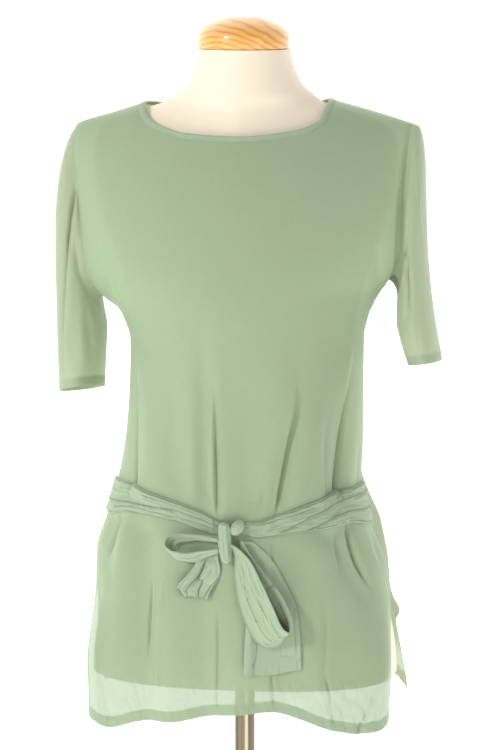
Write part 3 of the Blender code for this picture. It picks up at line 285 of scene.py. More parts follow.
# Creases on the front half of each sleeve, in the same form
SLEEVE_CREASES = {
    -1: listed(CREASE_NAMES, [
        (-0.2, 1.262, -0.2129, 1.157, -0.2215, 1.01, 0.003, 0.0016, -0.006, 0.15, 0.1),
        (-0.195, 1.262, -0.2065, 1.157, -0.2165, 1.01, 0.004, 0.006, 0.0026, 0.15, 0.15),
        (-0.1905, 1.11, -0.1865, 1.068, -0.1814, 1.015, 0.005, 0.003, -0.003, 0.3, 0.25),
        (-0.183, 1.124, -0.179, 1.113, -0.174, 1.096, 0.0024, 0.0024, -0.003, 0.3, 0.3),
        (-0.199, 1.1, -0.196, 1.06, -0.193, 1.01, 0.006, 0.006, 0.0018, 0.4, 0.3),
    ]),
    1: listed(CREASE_NAMES, [
        (0.1925, 1.175, 0.2004, 1.126, 0.1945, 1.08, 0.003, 0.004, -0.0056, 0.25, 0.35),
        (0.206, 1.29, 0.217, 1.172, 0.2365, 1.048, 0.0016, 0.0024, 0.0026, 0.12, 0.1),
        (0.2085, 1.28, 0.2196, 1.172, 0.2392, 1.048, 0.002, 0.002, -0.002, 0.12, 0.1),
        (0.1925, 1.085, 0.1985, 1.056, 0.2015, 1.03, 0.0022, 0.004, 0.0028, 0.35, 0.05),
        (0.209, 1.14, 0.211, 1.09, 0.215, 1.045, 0.005, 0.005, -0.0016, 0.4, 0.2),
    ]),
}

# How deep the armhole seam lies as a valley, by height
ARM_VALLEY = {
    -1: table("z deep", [(1.1, 0.002), (1.15, 0.001), (1.23, 0.0008), (1.33, 0.0006)]),
    1: table("z deep", [(1.11, 0.003), (1.15, 0.0056), (1.215, 0.007), (1.26, 0.004), (1.33, 0.0008)]),
}

SLEEVES = {
    -1: table("s top_x top_z low_x low_z deep tilt", [
        (0.0, 0.2085, 1.315, 0.1735, 1.105, 0.056, 0.0),
        (0.1, 0.2165, 1.302, 0.1795, 1.1045, 0.058, 0.0),
        (0.2, 0.2235, 1.284, 0.183, 1.1, 0.06, 0.0),
        (0.32, 0.231, 1.2476, 0.1825, 1.092, 0.061, 0.01),
        (0.47, 0.2347, 1.198, 0.18, 1.08, 0.062, 0.04),
        (0.62, 0.2352, 1.14, 0.1768, 1.064, 0.062, 0.08),
        (0.8, 0.2345, 1.065, 0.1785, 1.035, 0.063, 0.13),
        (1.0, 0.2325, 0.986, 0.181, 0.995, 0.063, 0.18),
    ]),
    1: table("s top_x top_z low_x low_z deep tilt", [
        (0.0, 0.199, 1.32, 0.1706, 1.1268, 0.056, 0.0),
        (0.08, 0.2075, 1.316, 0.176, 1.127, 0.058, 0.0),
        (0.18, 0.213, 1.296, 0.181, 1.122, 0.06, 0.0),
        (0.3, 0.2158, 1.265, 0.183, 1.112, 0.061, 0.01),
        (0.45, 0.217, 1.22, 0.183, 1.099, 0.062, 0.02),
        (0.62, 0.2195, 1.165, 0.183, 1.082, 0.062, 0.04),
        (0.8, 0.2265, 1.103, 0.187, 1.061, 0.063, 0.07),
        (1.0, 0.2385, 1.035, 0.197, 1.029, 0.063, 0.1),
    ]),
}

LEFT_TIE = table("x up low pleat", [
    (-0.168, 0.8815, 0.8395, 0.001), (-0.159, 0.8842, 0.8405, 0.0014), (-0.137, 0.8863, 0.85, 0.0018),
    (-0.1035, 0.8832, 0.854, 0.0018), (-0.075, 0.8778, 0.8535, 0.0018),
    (-0.0485, 0.8714, 0.848, 0.0016), (-0.031, 0.8645, 0.843, 0.0012),
    (-0.0102, 0.8551, 0.8388, 0.0006),
])
RIGHT_TIE = table("x up low pleat", [
    (0.008, 0.859, 0.844, 0.0006), (0.0263, 0.8575, 0.8388, 0.0012), (0.043, 0.8615, 0.84, 0.0016),
    (0.0735, 0.8723, 0.8425, 0.0018), (0.105, 0.8808, 0.844, 0.0018), (0.1285, 0.8862, 0.845, 0.0018),
    (0.141, 0.885, 0.838, 0.0014), (0.147, 0.883, 0.831, 0.001),
])
TIE_GAP = 0.0011
TIE_END = math.radians(86)
LEFT_TAIL = table("t left right z out", [
    (0.0, -0.03, -0.0175, 0.8185, 0.0012), (0.15, -0.041, -0.016, 0.81, 0.0012),
    (0.3, -0.048, -0.0145, 0.801, 0.0014), (0.5, -0.056, -0.0165, 0.789, 0.0018),
    (0.7, -0.064, -0.0225, 0.7785, 0.0022), (0.85, -0.067, -0.027, 0.77, 0.0025),
    (1.0, -0.0625, -0.03, 0.7615, 0.0028),
])
RIGHT_TAIL = table("t left right z out", [
    (0.0, 0.0075, 0.024, 0.834, 0.0012), (0.12, 0.013, 0.044, 0.813, 0.0012),
    (0.28, 0.0155, 0.059, 0.787, 0.0012), (0.52, 0.016, 0.075, 0.75, 0.0014),
    (0.76, 0.014, 0.079, 0.712, 0.0018), (1.0, 0.0125, 0.08, 0.673, 0.0022),
])

# Where the ties' strands overlap: the height of each and its line, as x and the share of the tie's width
LEFT_OVERLAPS = [
    (0.0022, [
        (-0.172, 0.62), (-0.135, 0.64), (-0.112, 0.59), (-0.092, 0.52),
        (-0.074, 0.42), (-0.046, 0.38), (-0.012, 0.3),
    ]),
    (0.0012, [(-0.12, 0.2), (-0.08, 0.16), (-0.05, 0.18), (-0.012, 0.18)]),
    (0.001, [(-0.158, 0.86), (-0.12, 0.8), (-0.09, 0.8), (-0.05, 0.7), (-0.012, 0.62)]),
]
RIGHT_OVERLAPS = [
    (0.0014, [(0.01, 0.1), (0.047, 0.18), (0.072, 0.2), (0.098, 0.2)]),
    (0.0024, [(0.048, 0.92), (0.063, 0.75), (0.087, 0.46), (0.116, 0.32), (0.165, 0.2)]),
    (0.002, [(0.072, 1.06), (0.081, 0.98), (0.112, 0.7), (0.17, 0.6)]),
]

LOOP_COLUMNS = "t x z out far_x far_z far_out"
RIGHT_LOOP = table(LOOP_COLUMNS, [
    (0.0, -0.0006, 0.833, 0.015, -0.0006, 0.828, 0.008),
    (0.08, 0.011, 0.826, 0.02, 0.003, 0.817, 0.0075),
    (0.18, 0.0216, 0.814, 0.027, 0.003, 0.801, 0.008),
    (0.33, 0.0331, 0.7864, 0.033, 0.0055, 0.7694, 0.009),
    (0.48, 0.045, 0.7575, 0.036, 0.0145, 0.7385, 0.0095),
    (0.58, 0.0537, 0.7369, 0.036, 0.025, 0.7165, 0.009),
    (0.64, 0.0618, 0.7285, 0.0345, 0.041, 0.7045, 0.0085),
    (0.68, 0.065, 0.73, 0.031, 0.054, 0.706, 0.008),
    (0.72, 0.0662, 0.74, 0.028, 0.059, 0.716, 0.0072),
    (0.79, 0.059, 0.763, 0.0235, 0.047, 0.747, 0.0065),
    (0.87, 0.0428, 0.7889, 0.019, 0.0278, 0.7789, 0.0062),
    (0.94, 0.0247, 0.8149, 0.016, 0.0167, 0.8069, 0.0062),
    (1.0, 0.011, 0.837, 0.013, 0.01, 0.833, 0.0065),
])
LEFT_LOOP = table(LOOP_COLUMNS, [
    (0.0, -0.0158, 0.8265, 0.014, -0.0158, 0.8215, 0.008),
    (0.15, -0.0352, 0.8228, 0.016, -0.0342, 0.8128, 0.0062),
    (0.3, -0.0507, 0.8197, 0.019, -0.0477, 0.8067, 0.0062),
    (0.42, -0.0639, 0.8225, 0.021, -0.0599, 0.8085, 0.0064),
    (0.5, -0.0716, 0.83, 0.0205, -0.0666, 0.817, 0.0064),
    (0.58, -0.0705, 0.8366, 0.0185, -0.0655, 0.8256, 0.0064),
    (0.7, -0.0587, 0.8405, 0.0175, -0.0547, 0.8305, 0.0068),
    (0.85, -0.04, 0.8415, 0.016, -0.038, 0.8335, 0.0076),
    (1.0, -0.0158, 0.839, 0.015, -0.0158, 0.834, 0.009),
])
LUMP_COLUMNS = "t x z half deep out"
KNOT_WRAP = table(LUMP_COLUMNS, [
    (0.0, -0.0095, 0.859, 0.0025, 0.0025, 0.0088),
    (0.12, -0.009, 0.8555, 0.0062, 0.0055, 0.009),
    (0.5, -0.0083, 0.833, 0.007, 0.0062, 0.0098),
    (0.86, -0.0068, 0.814, 0.0056, 0.005, 0.0096),
    (1.0, -0.0066, 0.8095, 0.0022, 0.0022, 0.009),
])
KNOT_TOP = table(LUMP_COLUMNS, [
    (0.0, -0.002, 0.85, 0.0028, 0.0025, 0.0092),
    (0.18, 0.0004, 0.8505, 0.007, 0.005, 0.0096),
    (0.55, 0.006, 0.853, 0.0088, 0.0064, 0.01),
    (0.85, 0.0112, 0.855, 0.0068, 0.005, 0.0092),
    (1.0, 0.0135, 0.8555, 0.0028, 0.0022, 0.0084),
])

# The form's and the cap's outlines
FORM = table("z half front back round", [
    (0.641, 0.19, 0.112, 0.111, 2.6), (0.66, 0.189, 0.113, 0.113, 2.6),
    (0.68, 0.1865, 0.115, 0.115, 2.6), (0.7, 0.183, 0.1155, 0.115, 2.6),
    (0.74, 0.174, 0.116, 0.114, 2.4), (0.79, 0.159, 0.113, 0.108, 2.1),
    (0.84, 0.1415, 0.109, 0.098, 2.1), (0.89, 0.129, 0.106, 0.088, 2.1),
    (0.94, 0.122, 0.106, 0.082, 2.1), (1.01, 0.127, 0.122, 0.088, 2.1),
    (1.05, 0.132, 0.134, 0.092, 2.05), (1.095, 0.139, 0.139, 0.095, 2.0),
    (1.15, 0.154, 0.131, 0.094, 2.0), (1.21, 0.174, 0.115, 0.087, 2.0),
    (1.25, 0.183, 0.103, 0.078, 1.9), (1.29, 0.185, 0.086, 0.066, 1.65),
    (1.3108, 0.179, 0.0765, 0.059, 1.45), (1.3228, 0.164, 0.073, 0.0545, 1.38),
    (1.3313, 0.14, 0.071, 0.052, 1.36), (1.3383, 0.115, 0.07, 0.05, 1.42),
    (1.3448, 0.096, 0.0695, 0.0488, 1.6), (1.3527, 0.085, 0.0695, 0.0475, 1.9),
    (1.3645, 0.0715, 0.068, 0.0455, 2.0), (1.3777, 0.0635, 0.0665, 0.044, 2.0),
    (1.3935, 0.058, 0.065, 0.042, 2.0), (1.408, 0.0555, 0.064, 0.04, 2.0),
])
CAP = table("point radius rise", [
    (0, 0.05, 0.0), (1, 0.054, 0.0014), (2, 0.0556, 0.0045), (3, 0.056, 0.009), (4, 0.0556, 0.0145),
    (5, 0.0539, 0.0196), (6, 0.0495, 0.0252), (7, 0.0425, 0.0304), (8, 0.034, 0.0346),
    (9, 0.024, 0.0379), (10, 0.013, 0.0396), (11, 0.004, 0.0402),
])


# Surfaces


def edge_width(z, side):
    """How far the blouse's edge stands from the middle, in front view."""
    return through(LEFT_EDGE if side < 0 else RIGHT_EDGE, "z", "x", z)


def blended(u, left, right):
    """From the value at the left edge to the one at the right edge."""
    toward_right = ease((u + 1) / 2)
    return left * (1 - toward_right) + right * toward_right


def half_width(u, z):
    """Half the panel's width at height z, with the flare that its armholes and sides add near the edges."""
    edge = blended(u, edge_width(z, -1), edge_width(z, 1))
    middle = through(BODY, "z", "half", z)
    return middle + (edge - middle) * (0.25 * u**2 + 0.75 * u**8)


def armhole_share(u, z, depth):
    """The share of the panel's depth that is left at its armhole edge."""
    underarm = blended(u, UNDERARM[-1], UNDERARM[1])
    up = np.clip((z - underarm) / ARMHOLE_EASE, 0, 1)
    return ARMHOLE_DEPTH / depth * np.sqrt(1 - (1 - up) ** 2)


def fold_relief(folds, x, z):
    """Height of soft folds, each along a straight line."""
    total = np.zeros_like(x)
    for fold in folds:
        run = np.array([fold["low_x"] - fold["top_x"], fold["low_z"] - fold["top_z"]])
        length = np.hypot(*run)
        run = run / length
        along = ((x - fold["top_x"]) * run[0] + (z - fold["top_z"]) * run[1]) / length
        across = (x - fold["top_x"]) * run[1] - (z - fold["top_z"]) * run[0]
        strength = ease(along / fold["rise"]) * ease((1 - along) / fold["fall"])
        total += fold["height"] * strength * bell(across / fold["half"])
    return total


def crease_relief(creases, x, z):
    """Height of fine creases, each on a parabola through its three points."""
    total = np.zeros_like(x)
    for c in creases:
        z0, z1, z2 = c["top_z"], c["mid_z"], c["low_z"]
        at_top = (z - z1) * (z - z2) / ((z0 - z1) * (z0 - z2))
        at_mid = (z - z0) * (z - z2) / ((z1 - z0) * (z1 - z2))
        at_low = (z - z0) * (z - z1) / ((z2 - z0) * (z2 - z1))
        line = c["top_x"] * at_top + c["mid_x"] * at_mid + c["low_x"] * at_low
        lean = math.cos(math.atan2(c["low_x"] - c["top_x"], z0 - z2))
        across = (x - line) * lean
        along = (z0 - z) / (z0 - z2)
        strength = ease(along / c["rise"]) * ease((1 - along) / c["fall"])
        half = np.where(across < 0, c["left"], c["right"])
        total += c["height"] * strength * bell(across / half)
    return total


def panel_point(alpha, z, face):
    """A panel's outer surface without its folds; alpha runs from -90 to 90 degrees between the two edges."""
    u = np.sin(alpha)
    x = u * half_width(u, z)
    depth = through(BODY, "z", "front" if face < 0 else "back", z)
    share = armhole_share(u, z, depth)
    across = np.sqrt(np.maximum(1 - u**2 * (1 - share**2), 0))
    roll = ROLL if face < 0 else BACK_ROLL
    drop = np.clip((through(CREST, "x", "z", x) - z) / roll, 0, 1)
    y = face * depth * across * np.sqrt(1 - (1 - drop) ** 2)
    fall = through(SLIT_FALL, "z", "front" if face < 0 else "back", z) * np.abs(u) ** 6
    if face > 0:
        swing = np.where(u < 0, -through(SLIT_FALL, "z", "left", z), through(SLIT_FALL, "z", "right", z))
        pouch = through(POUCH, "z", "out", z) * bell((alpha - POUCH_ANGLE) / POUCH_REACH)
        x = x + swing * np.abs(u) ** 6 + pouch
    return np.stack([x, y + face * fall, z], -1)


def crinkle(x, z):
    """Crinkles of the sheer strip below the form, slanting and stronger to the right."""
    depth = 0.68 - z
    across, down = (x + 0.2 - 0.25 * depth) / 0.4, depth / 0.1
    broad, tight = wrinkled(down, across, (3, 34), 21, 0.8), wrinkled(down, across, (7, 60), 22)
    strength = ease((0.672 - z) / 0.03) * (0.45 + 0.55 * ease((x - 0.02) / 0.1))
    return (0.0024 * broad + 0.0016 * tight) * strength


def panel_surface(alpha, z, face):
    """The panel's outer surface with its folds and creases, and its outward normals."""
    alpha, z = np.broadcast_arrays(np.asarray(alpha, float), np.asarray(z, float))
    step = 1e-4
    point = panel_point(alpha, z, face)
    turn = panel_point(alpha + step, z, face) - panel_point(alpha - step, z, face)
    down = panel_point(alpha, z - step, face) - panel_point(alpha, z + step, face)
    normal = unit(np.cross(turn, down)) * face
    calm = 1 - np.abs(np.sin(alpha)) ** 12
    x = point[..., 0]
    if face < 0:
        band = (z - through(PRESSED, "x", "z", x)) / PRESSED_REACH
        pressed = np.exp(-(band**4))
        relief = fold_relief(FRONT_FOLDS, x, z) * (1 - PRESSED_SHARE * pressed)
        relief += crease_relief(FRONT_CREASES, x, z) * (1 - 0.9 * pressed)
        relief += crinkle(x, z)
    else:
        relief = fold_relief(BACK_FOLDS, x, z)
    return point + normal * (relief * calm)[..., None], normal


def alpha_at(x, z):
    """The alpha of a panel's column at x, at heights where the half width is known."""
    x, z = np.broadcast_arrays(np.asarray(x, float), np.asarray(z, float))
    u = np.clip(x / 0.18, -1, 1)
    for _ in range(40):
        u = np.clip(0.5 * u + 0.5 * x / half_width(u, z), -1, 1)
    return np.arcsin(u)


class Front:
    """The front panel's own grid, which whatever lies on it is made from."""

    def __init__(self, angles, outer, normal):
        self.angles, self.outer, self.normal = angles, outer, normal

    def at(self, alpha, z, out):
        """Points at the given distance outside the panel's faces."""
        alpha, z, out = np.broadcast_arrays(*(np.asarray(v, float) for v in (alpha, z, out)))
        j = np.clip(np.searchsorted(self.angles, alpha) - 1, 0, len(self.angles) - 2)
        share = ((alpha - self.angles[j]) / (self.angles[j + 1] - self.angles[j]))[..., None]
        heights = self.outer[..., 2]
        column = heights[:, j] * (1 - share[..., 0]) + heights[:, j + 1] * share[..., 0]
        i = np.clip((column > z).sum(0) - 1, 0, len(heights) - 2)
        top = np.take_along_axis(column, i[None], 0)[0]
        low = np.take_along_axis(column, i[None] + 1, 0)[0]
        down = ((top - z) / (top - low))[..., None]

        def blend(grid):
            left = grid[i, j] * (1 - down) + grid[i + 1, j] * down
            right = grid[i, j + 1] * (1 - down) + grid[i + 1, j + 1] * down
            return left * (1 - share) + right * share

        return blend(self.outer) + unit(blend(self.normal)) * out[..., None]

    def over(self, x, z, out):
        return self.at(alpha_at(x, z), z, out)


def grid_normals(grid, ring=False):
    """Normals of a grid of points from its neighbours."""
    down = np.gradient(grid, axis=0)
    if ring:
        across = (np.roll(grid, -1, axis=1) - np.roll(grid, 1, axis=1)) / 2
    else:
        across = np.gradient(grid, axis=1)
    return unit(np.cross(down, across))


def ring_normals(grid):
    """Outward normals of a grid of closed rings."""
    normal = grid_normals(grid, ring=True)
    outward = grid - grid.mean(axis=1, keepdims=True)
    return normal * np.sign((outward * normal).sum(-1).mean())


def panel_angles(cells):
    ends = []
    for x in NECK_POINTS:
        z = through(CREST, "x", "z", np.array(x))
        ends.append(float(alpha_at(x, z)))
    marks = [-math.pi / 2, ends[0], ends[1], math.pi / 2]
    parts = []
    for i in range(3):
        even = np.linspace(0, 1, cells[i] + 1)[:-1]
        if i == 1:
            even = 0.6 * even + 0.4 * (0.5 - 0.5 * np.cos(math.pi * even))
        parts.append(marks[i] + (marks[i + 1] - marks[i]) * even)
    return np.concatenate(parts + [[math.pi / 2]])


def panel_heights(angles, neck, hem, lower_rows):
    """Heights of each column's rows: close over the shoulder, one at the underarm, then even to the hem."""
    u = np.sin(angles)
    x = u * half_width(u, np.full_like(u, NECK_HEIGHT))
    for _ in range(20):
        crest = through(CREST, "x", "z", x)
        opening = through(neck, "x", "z", x)
        inside = (x > NECK_POINTS[0]) & (x < NECK_POINTS[1])
        top = np.where(inside, np.minimum(opening, crest), crest)
        x = u * half_width(u, top)
    underarm = blended(u, UNDERARM[-1], UNDERARM[1])
    low_x = u * half_width(u, np.full_like(u, HEM_HEIGHT))
    bottom = through(hem, "x", "z", low_x)
    arm = (np.arange(ARM_ROWS + 1) / ARM_ROWS) ** 1.7
    lower = np.arange(1, lower_rows + 1) / lower_rows
    rows = [top + (underarm - top) * share for share in arm]
    rows += [underarm + (bottom - underarm) * share for share in lower]
    return np.array(rows)


def make_panel(face):
    cells = FRONT_COLUMNS if face < 0 else BACK_COLUMNS
    angles = panel_angles(cells)
    neck, hem = (FRONT_NECK, FRONT_HEM) if face < 0 else (BACK_NECK, BACK_HEM)
    heights = panel_heights(angles, neck, hem, FRONT_LOWER_ROWS if face < 0 else BACK_LOWER_ROWS)
    outer, normal = panel_surface(np.broadcast_to(angles, heights.shape), heights, face)
    seam = np.r_[0 : cells[0] + 1, cells[0] + cells[1] : sum(cells) + 1]
    outer[0, seam, 1] = 0.0
    slope = np.gradient(through(CREST, "x", "z", outer[0, :, 0]), outer[0, :, 0])
    square = unit(np.stack([-slope, np.zeros_like(slope), np.ones_like(slope)], -1))
    normal[0, seam] = square[seam]
    closed = heights[:, [0, -1]] > SLIT_TOP
    for column in (0, -1):
        rows = closed[:, column]
        rows[:ARM_ROWS] = False
        outer[rows, column, 1] = 0.0
        normal[rows, column, 1] = 0.0
    grid = {"angles": angles, "outer": outer, "normal": unit(normal)}
    return {**grid, "closed": closed, "cells": cells, "seam": seam}


def reach_from_edge(grid, column):
    """How far along its row each point of a grid lies from the first or last column."""
    run = runs(grid, 1)
    return run if column == 0 else run[:, -1:] - run


def sink_seams(panel):
    """Draws the cloth in along its armholes, side seams and shoulder seams."""
    outer, normal = panel["outer"], panel["normal"]
    depth = np.zeros(outer.shape[:2])
    z = outer[..., 2]
    for side, column in ((-1, 0), (1, -1)):
        reach = reach_from_edge(outer, column)
        arm = through(ARM_VALLEY[side], "z", "deep", z)
        arm = arm * ease((np.arange(len(z)) / 6.0))[:, None] * (np.arange(len(z)) <= ARM_ROWS)[:, None]
        depth += arm * bell(reach / ARM_SEAM_WIDTH)
        rows = panel["closed"][:, 0 if side < 0 else 1][:, None]
        depth += rows * SIDE_SEAM["deep"] * bell(reach / SIDE_SEAM["wide"])
    shoulder = np.zeros(z.shape[1])
    shoulder[panel["seam"]] = 1.0
    depth += shoulder[None] * SHOULDER_SEAM["deep"] * bell(runs(outer, 0) / SHOULDER_SEAM["wide"])
    panel["outer"] = outer - normal * depth[..., None]


def armhole_loop(front, back, side, name):
    """The panels' own points or normals round an armhole."""
    column = 0 if side < 0 else -1
    down = front[name][: ARM_ROWS + 1, column]
    up = back[name][ARM_ROWS - 1 : 0 : -1, column]
    return np.concatenate([down, up])


def sleeve_grid(loop, side):
    """Rings from the armhole loop to the cuff."""
    shape = SLEEVES[side]
    turns = 2 * ARM_ROWS
    levels = (np.arange(SLEEVE_RINGS + 1) / SLEEVE_RINGS) ** 1.15

    def ring(s, angle):
        top_x, top_z, low_x, low_z, deep, tilt = curves(shape, "s", "top_x top_z low_x low_z deep tilt", s)
        top, low = np.array([side * top_x, 0, top_z]), np.array([side * low_x, 0, low_z])
        bulge = np.sign(np.sin(angle)) * np.abs(np.sin(angle)) ** 0.9
        across = np.stack([np.zeros(turns), -deep * bulge, deep * tilt * bulge], -1)
        return (top + low) / 2 + (top - low) / 2 * np.cos(angle)[:, None] + across

    first = np.array([side * shape["top_x"][0], 0, shape["top_z"][0]])
    last = np.array([side * shape["low_x"][0], 0, shape["low_z"][0]])
    middle = (first + last) / 2
    reach = np.linalg.norm(first - last) / 2
    cosine = np.clip((loop - middle) @ unit(first - last) / reach, -1, 1)
    own = np.arccos(cosine)
    own[ARM_ROWS + 1 :] = 2 * math.pi - own[ARM_ROWS + 1 :]
    even = np.linspace(0, 2 * math.pi, turns, endpoint=False)
    rings = []
    for s in levels:
        angle = own + (even - own) * ease(s / 0.5)
        rings.append(ring(s, angle) + (loop - ring(0.0, own)) * (1 - ease(s / 0.45)))
    return np.array(rings)


def doubled(grid):
    """Twice as many points round each ring: on a smooth curve, but on straight lines in the first ring."""
    ahead, behind, past = np.roll(grid, -1, 1), np.roll(grid, 1, 1), np.roll(grid, -2, 1)
    between = (9 * (grid + ahead) - (behind + past)) / 16
    between[0] = (grid[0] + ahead[0]) / 2
    return np.stack([grid, between], 2).reshape(len(grid), -1, 3)


# Meshes


def painted_crease_shade(grid, ring=False, ribbon=False):
    """How deep each point of a grid lies in a narrow groove, from 0 to 1, for the painted shade of tight
    creases.
    """
    blurred = grid.copy()
    for _ in range(4):
        if ring:
            sides = np.roll(blurred, -1, axis=1) + np.roll(blurred, 1, axis=1)
            blurred = blurred * 0.5 + sides * 0.25
        else:
            blurred[:, 1:-1] = blurred[:, 1:-1] * 0.5 + (blurred[:, 2:] + blurred[:, :-2]) * 0.25
        if ribbon:
            blurred[1:-1] = blurred[1:-1] * 0.5 + (blurred[2:] + blurred[:-2]) * 0.25
    # Painted shade: the deeper a point lies in a groove, the more of the dark crease tone it gets
    depth = ((blurred - grid) * grid_normals(grid, ring)).sum(-1)
    least, most = RIBBON_SHADE_DEPTHS if ribbon else PANEL_SHADE_DEPTHS
    return np.clip((depth - least) / (most - least), 0, 1)


def add_mesh(name, points, faces, uvs=None, sharp_from=0, painted_shade=None):
    """A mesh in the worn position, with its own measure in metres as its UV map."""
    mesh = bpy.data.meshes.new(name)
    mesh.from_pydata(np.asarray(points, float).tolist(), [], [list(map(int, face)) for face in faces])
    if uvs is not None:
        layer = mesh.uv_layers.new(name="UVMap")
        index = np.zeros(len(mesh.loops), np.int32)
        mesh.loops.foreach_get("vertex_index", index)
        layer.data.foreach_set("uv", np.asarray(uvs, np.float32)[index].ravel())
    # The share of painted shade in tight creases, which the cloth materials read
    if painted_shade is not None:
        layer = mesh.attributes.new("painted_shade", "FLOAT", "POINT")
        layer.data.foreach_set("value", np.asarray(painted_shade, np.float32).ravel())
    mesh.shade_smooth()
    if sharp_from:
        mesh.set_sharp_from_angle(angle=math.radians(sharp_from))
    piece = bpy.data.objects.new(name, mesh)
    bpy.context.scene.collection.objects.link(piece)
    return piece


def measures(grid):
    """Each grid point's distance across and down the cloth, in metres."""
    across = runs(grid, 1)
    across -= across[:, across.shape[1] // 2][:, None]
    return np.stack([across, -runs(grid, 0)], -1)


def quads(rows, columns, ring=False):
    """The faces of a grid of points, which a ring closes from the last column to the first."""
    i, j = np.meshgrid(np.arange(rows - 1), np.arange(columns if ring else columns - 1), indexing="ij")
    after = (j + 1) % columns
    low = i + 1
    corners = [i * columns + j, low * columns + j, low * columns + after, i * columns + after]
    return np.stack(corners, -1).reshape(-1, 4)


def closed_faces(rows, sides):
    """The faces of rings of points from bottom to top, closed by two middle points that follow them."""
    faces = quads(rows, sides, ring=True)[:, ::-1].tolist()
    foot, top, last = rows * sides, rows * sides + 1, (rows - 1) * sides
    for k in range(sides):
        after = (k + 1) % sides
        faces += [(foot, after, k), (top, last + k, last + after)]
    return faces


def sheet_mesh(name, grid, ring=False):
    """A single layer of cloth from a grid of points."""
    points, uv = grid.reshape(-1, 3) + WORN, measures(grid).reshape(-1, 2)
    return add_mesh(name, points, quads(*grid.shape[:2], ring), uv, 0, painted_crease_shade(grid, ring))


def wall_mesh(name, outer, inner):
    """A closed wall between two grids of points."""
    rows, columns = outer.shape[:2]
    count = rows * columns
    number = np.arange(count).reshape(rows, columns)
    rim = np.concatenate([number[0, :-1], number[:-1, -1], number[-1, :0:-1], number[:0:-1, 0]])
    after = np.roll(rim, -1)
    ahead = quads(rows, columns)
    edge = np.stack([rim, after, after + count, rim + count], -1)
    faces = np.concatenate([ahead, ahead[:, ::-1] + count, edge])
    points = np.concatenate([outer.reshape(-1, 3), inner.reshape(-1, 3)]) + WORN
    uv, painted_shade = measures(outer).reshape(-1, 2), painted_crease_shade(outer, ribbon=True)
    return add_mesh(name, points, faces, np.tile(uv, (2, 1)), 60, np.tile(painted_shade, (2, 1)))


def up_from_hem(outer, reach):
    """For each column, the row that lies the given distance up from the last one, and the share before it."""
    back = runs(outer[::-1], 0)
    at = np.clip([np.searchsorted(column, reach) for column in back.T], 1, len(back) - 1)
    low, high = (back[row, np.arange(len(at))] for row in (at - 1, at))
    return at, ((reach - low) / np.maximum(high - low, 1e-9))[:, None]


def between_rows(grid, at, share):
    """The points of a grid at rows and shares from up_from_hem."""
    columns = np.arange(grid.shape[1])
    here, above = grid[-at, columns], grid[-at - 1, columns]
    return here + (above - here) * share


def hem_rows(outer, normal, depth, rows):
    """Rows that carry a grid on round its last row and back up inside: the turned-up hem."""
    down, inward = unit(outer[-1] - outer[-2]), -normal[-1]
    added = [outer[-1] + (down * 0.45 + inward * share) * HEM_TURN for share in (0.15, 0.85)]
    inner = outer - normal * HEM_TURN
    added += [between_rows(inner, *up_from_hem(outer, depth * k / rows)) for k in range(rows + 1)]
    return np.concatenate([outer, np.array(added)])


# The blouse's panels and sleeves


def sewn_sleeve(front, back, side):
    """One sleeve's rings and normals; the armhole's normals are shared by it and both panels."""
    grid = sleeve_grid(armhole_loop(front, back, side, "outer"), side)
    normal = ring_normals(grid)
    shared = unit(normal[0] + 2 * armhole_loop(front, back, side, "normal"))
    shared[ARM_ROWS] = (0.0, 0.0, -1.0)
    for _ in range(4):
        shared = unit(np.roll(shared, 1, 0) + 2 * shared + np.roll(shared, -1, 0))
    shared[[0, ARM_ROWS], 1] = 0.0
    shared = unit(shared)
    normal[0] = shared
    column = 0 if side < 0 else -1
    front["normal"][: ARM_ROWS + 1, column] = shared[: ARM_ROWS + 1]
    back["normal"][1:ARM_ROWS, column] = shared[:ARM_ROWS:-1]
    back["normal"][[0, ARM_ROWS], column] = shared[[0, ARM_ROWS]]
    return grid, normal


def creased_sleeve(rings, normal, loop, side):
    """A sleeve drawn in to its armhole's sunk seam, with its creases, and its normals."""
    grid, normal = doubled(rings), unit(doubled(normal))
    drop = doubled(loop[None])[0] - grid[0]
    grid = grid + drop[None] * bell(runs(grid, 0) / SLEEVE_SEAM_WIDTH)[..., None]
    forward = ease((-normal[..., 1] - 0.05) / 0.5)
    level = np.linspace(0, 1, len(grid))[:, None]
    relief = crease_relief(SLEEVE_CREASES[side], grid[..., 0], grid[..., 2]) * forward * ease(level / 0.06)
    grid = grid + normal * relief[..., None]
    return grid, ring_normals(grid)


def build_blouse():
    front, back = make_panel(-1), make_panel(1)
    sleeves = {side: sewn_sleeve(front, back, side) for side in (-1, 1)}
    sink_seams(front)
    sink_seams(back)
    pieces = {}
    for panel, name in ((front, "front_cloth"), (back, "back_cloth")):
        outer, normal = panel["outer"], panel["normal"]
        pieces[name] = sheet_mesh(name, hem_rows(outer, normal, HEM_DEPTH[name], 10))
        first = int(np.argmax(outer[:, 0, 2] < SLIT_TOP))
        ends = {"left": slice(0, FACING_COLUMNS), "right": slice(-FACING_COLUMNS, None)}
        for side, columns in ends.items():
            facing = f"{name}_slit_{side}"
            turned_in = outer[first:, columns] - normal[first:, columns] * HEM_TURN * 0.7
            pieces[facing] = sheet_mesh(facing, turned_in)
    for side, name in ((-1, "sleeve_left_cloth"), (1, "sleeve_right_cloth")):
        sleeves[side] = creased_sleeve(*sleeves[side], armhole_loop(front, back, side, "outer"), side)
        pieces[name] = sheet_mesh(name, hem_rows(*sleeves[side], HEM_DEPTH["cuff"], 8), ring=True)
    return front, back, sleeves, pieces


# The ties and the bow


def strands(v, x, count, lean, sharp):
    """Lengthwise pleats across a band: rounded strands with narrow grooves that wander along it."""
    wander = 0.05 * np.sin(37 * x + 1.3) + 0.04 * np.sin(83 * x + 0.4) * np.sin(math.pi * v)
    phase = count * (v + wander * v * (1 - v) * 4) + lean
    return np.abs(np.sin(math.pi * phase)) ** sharp


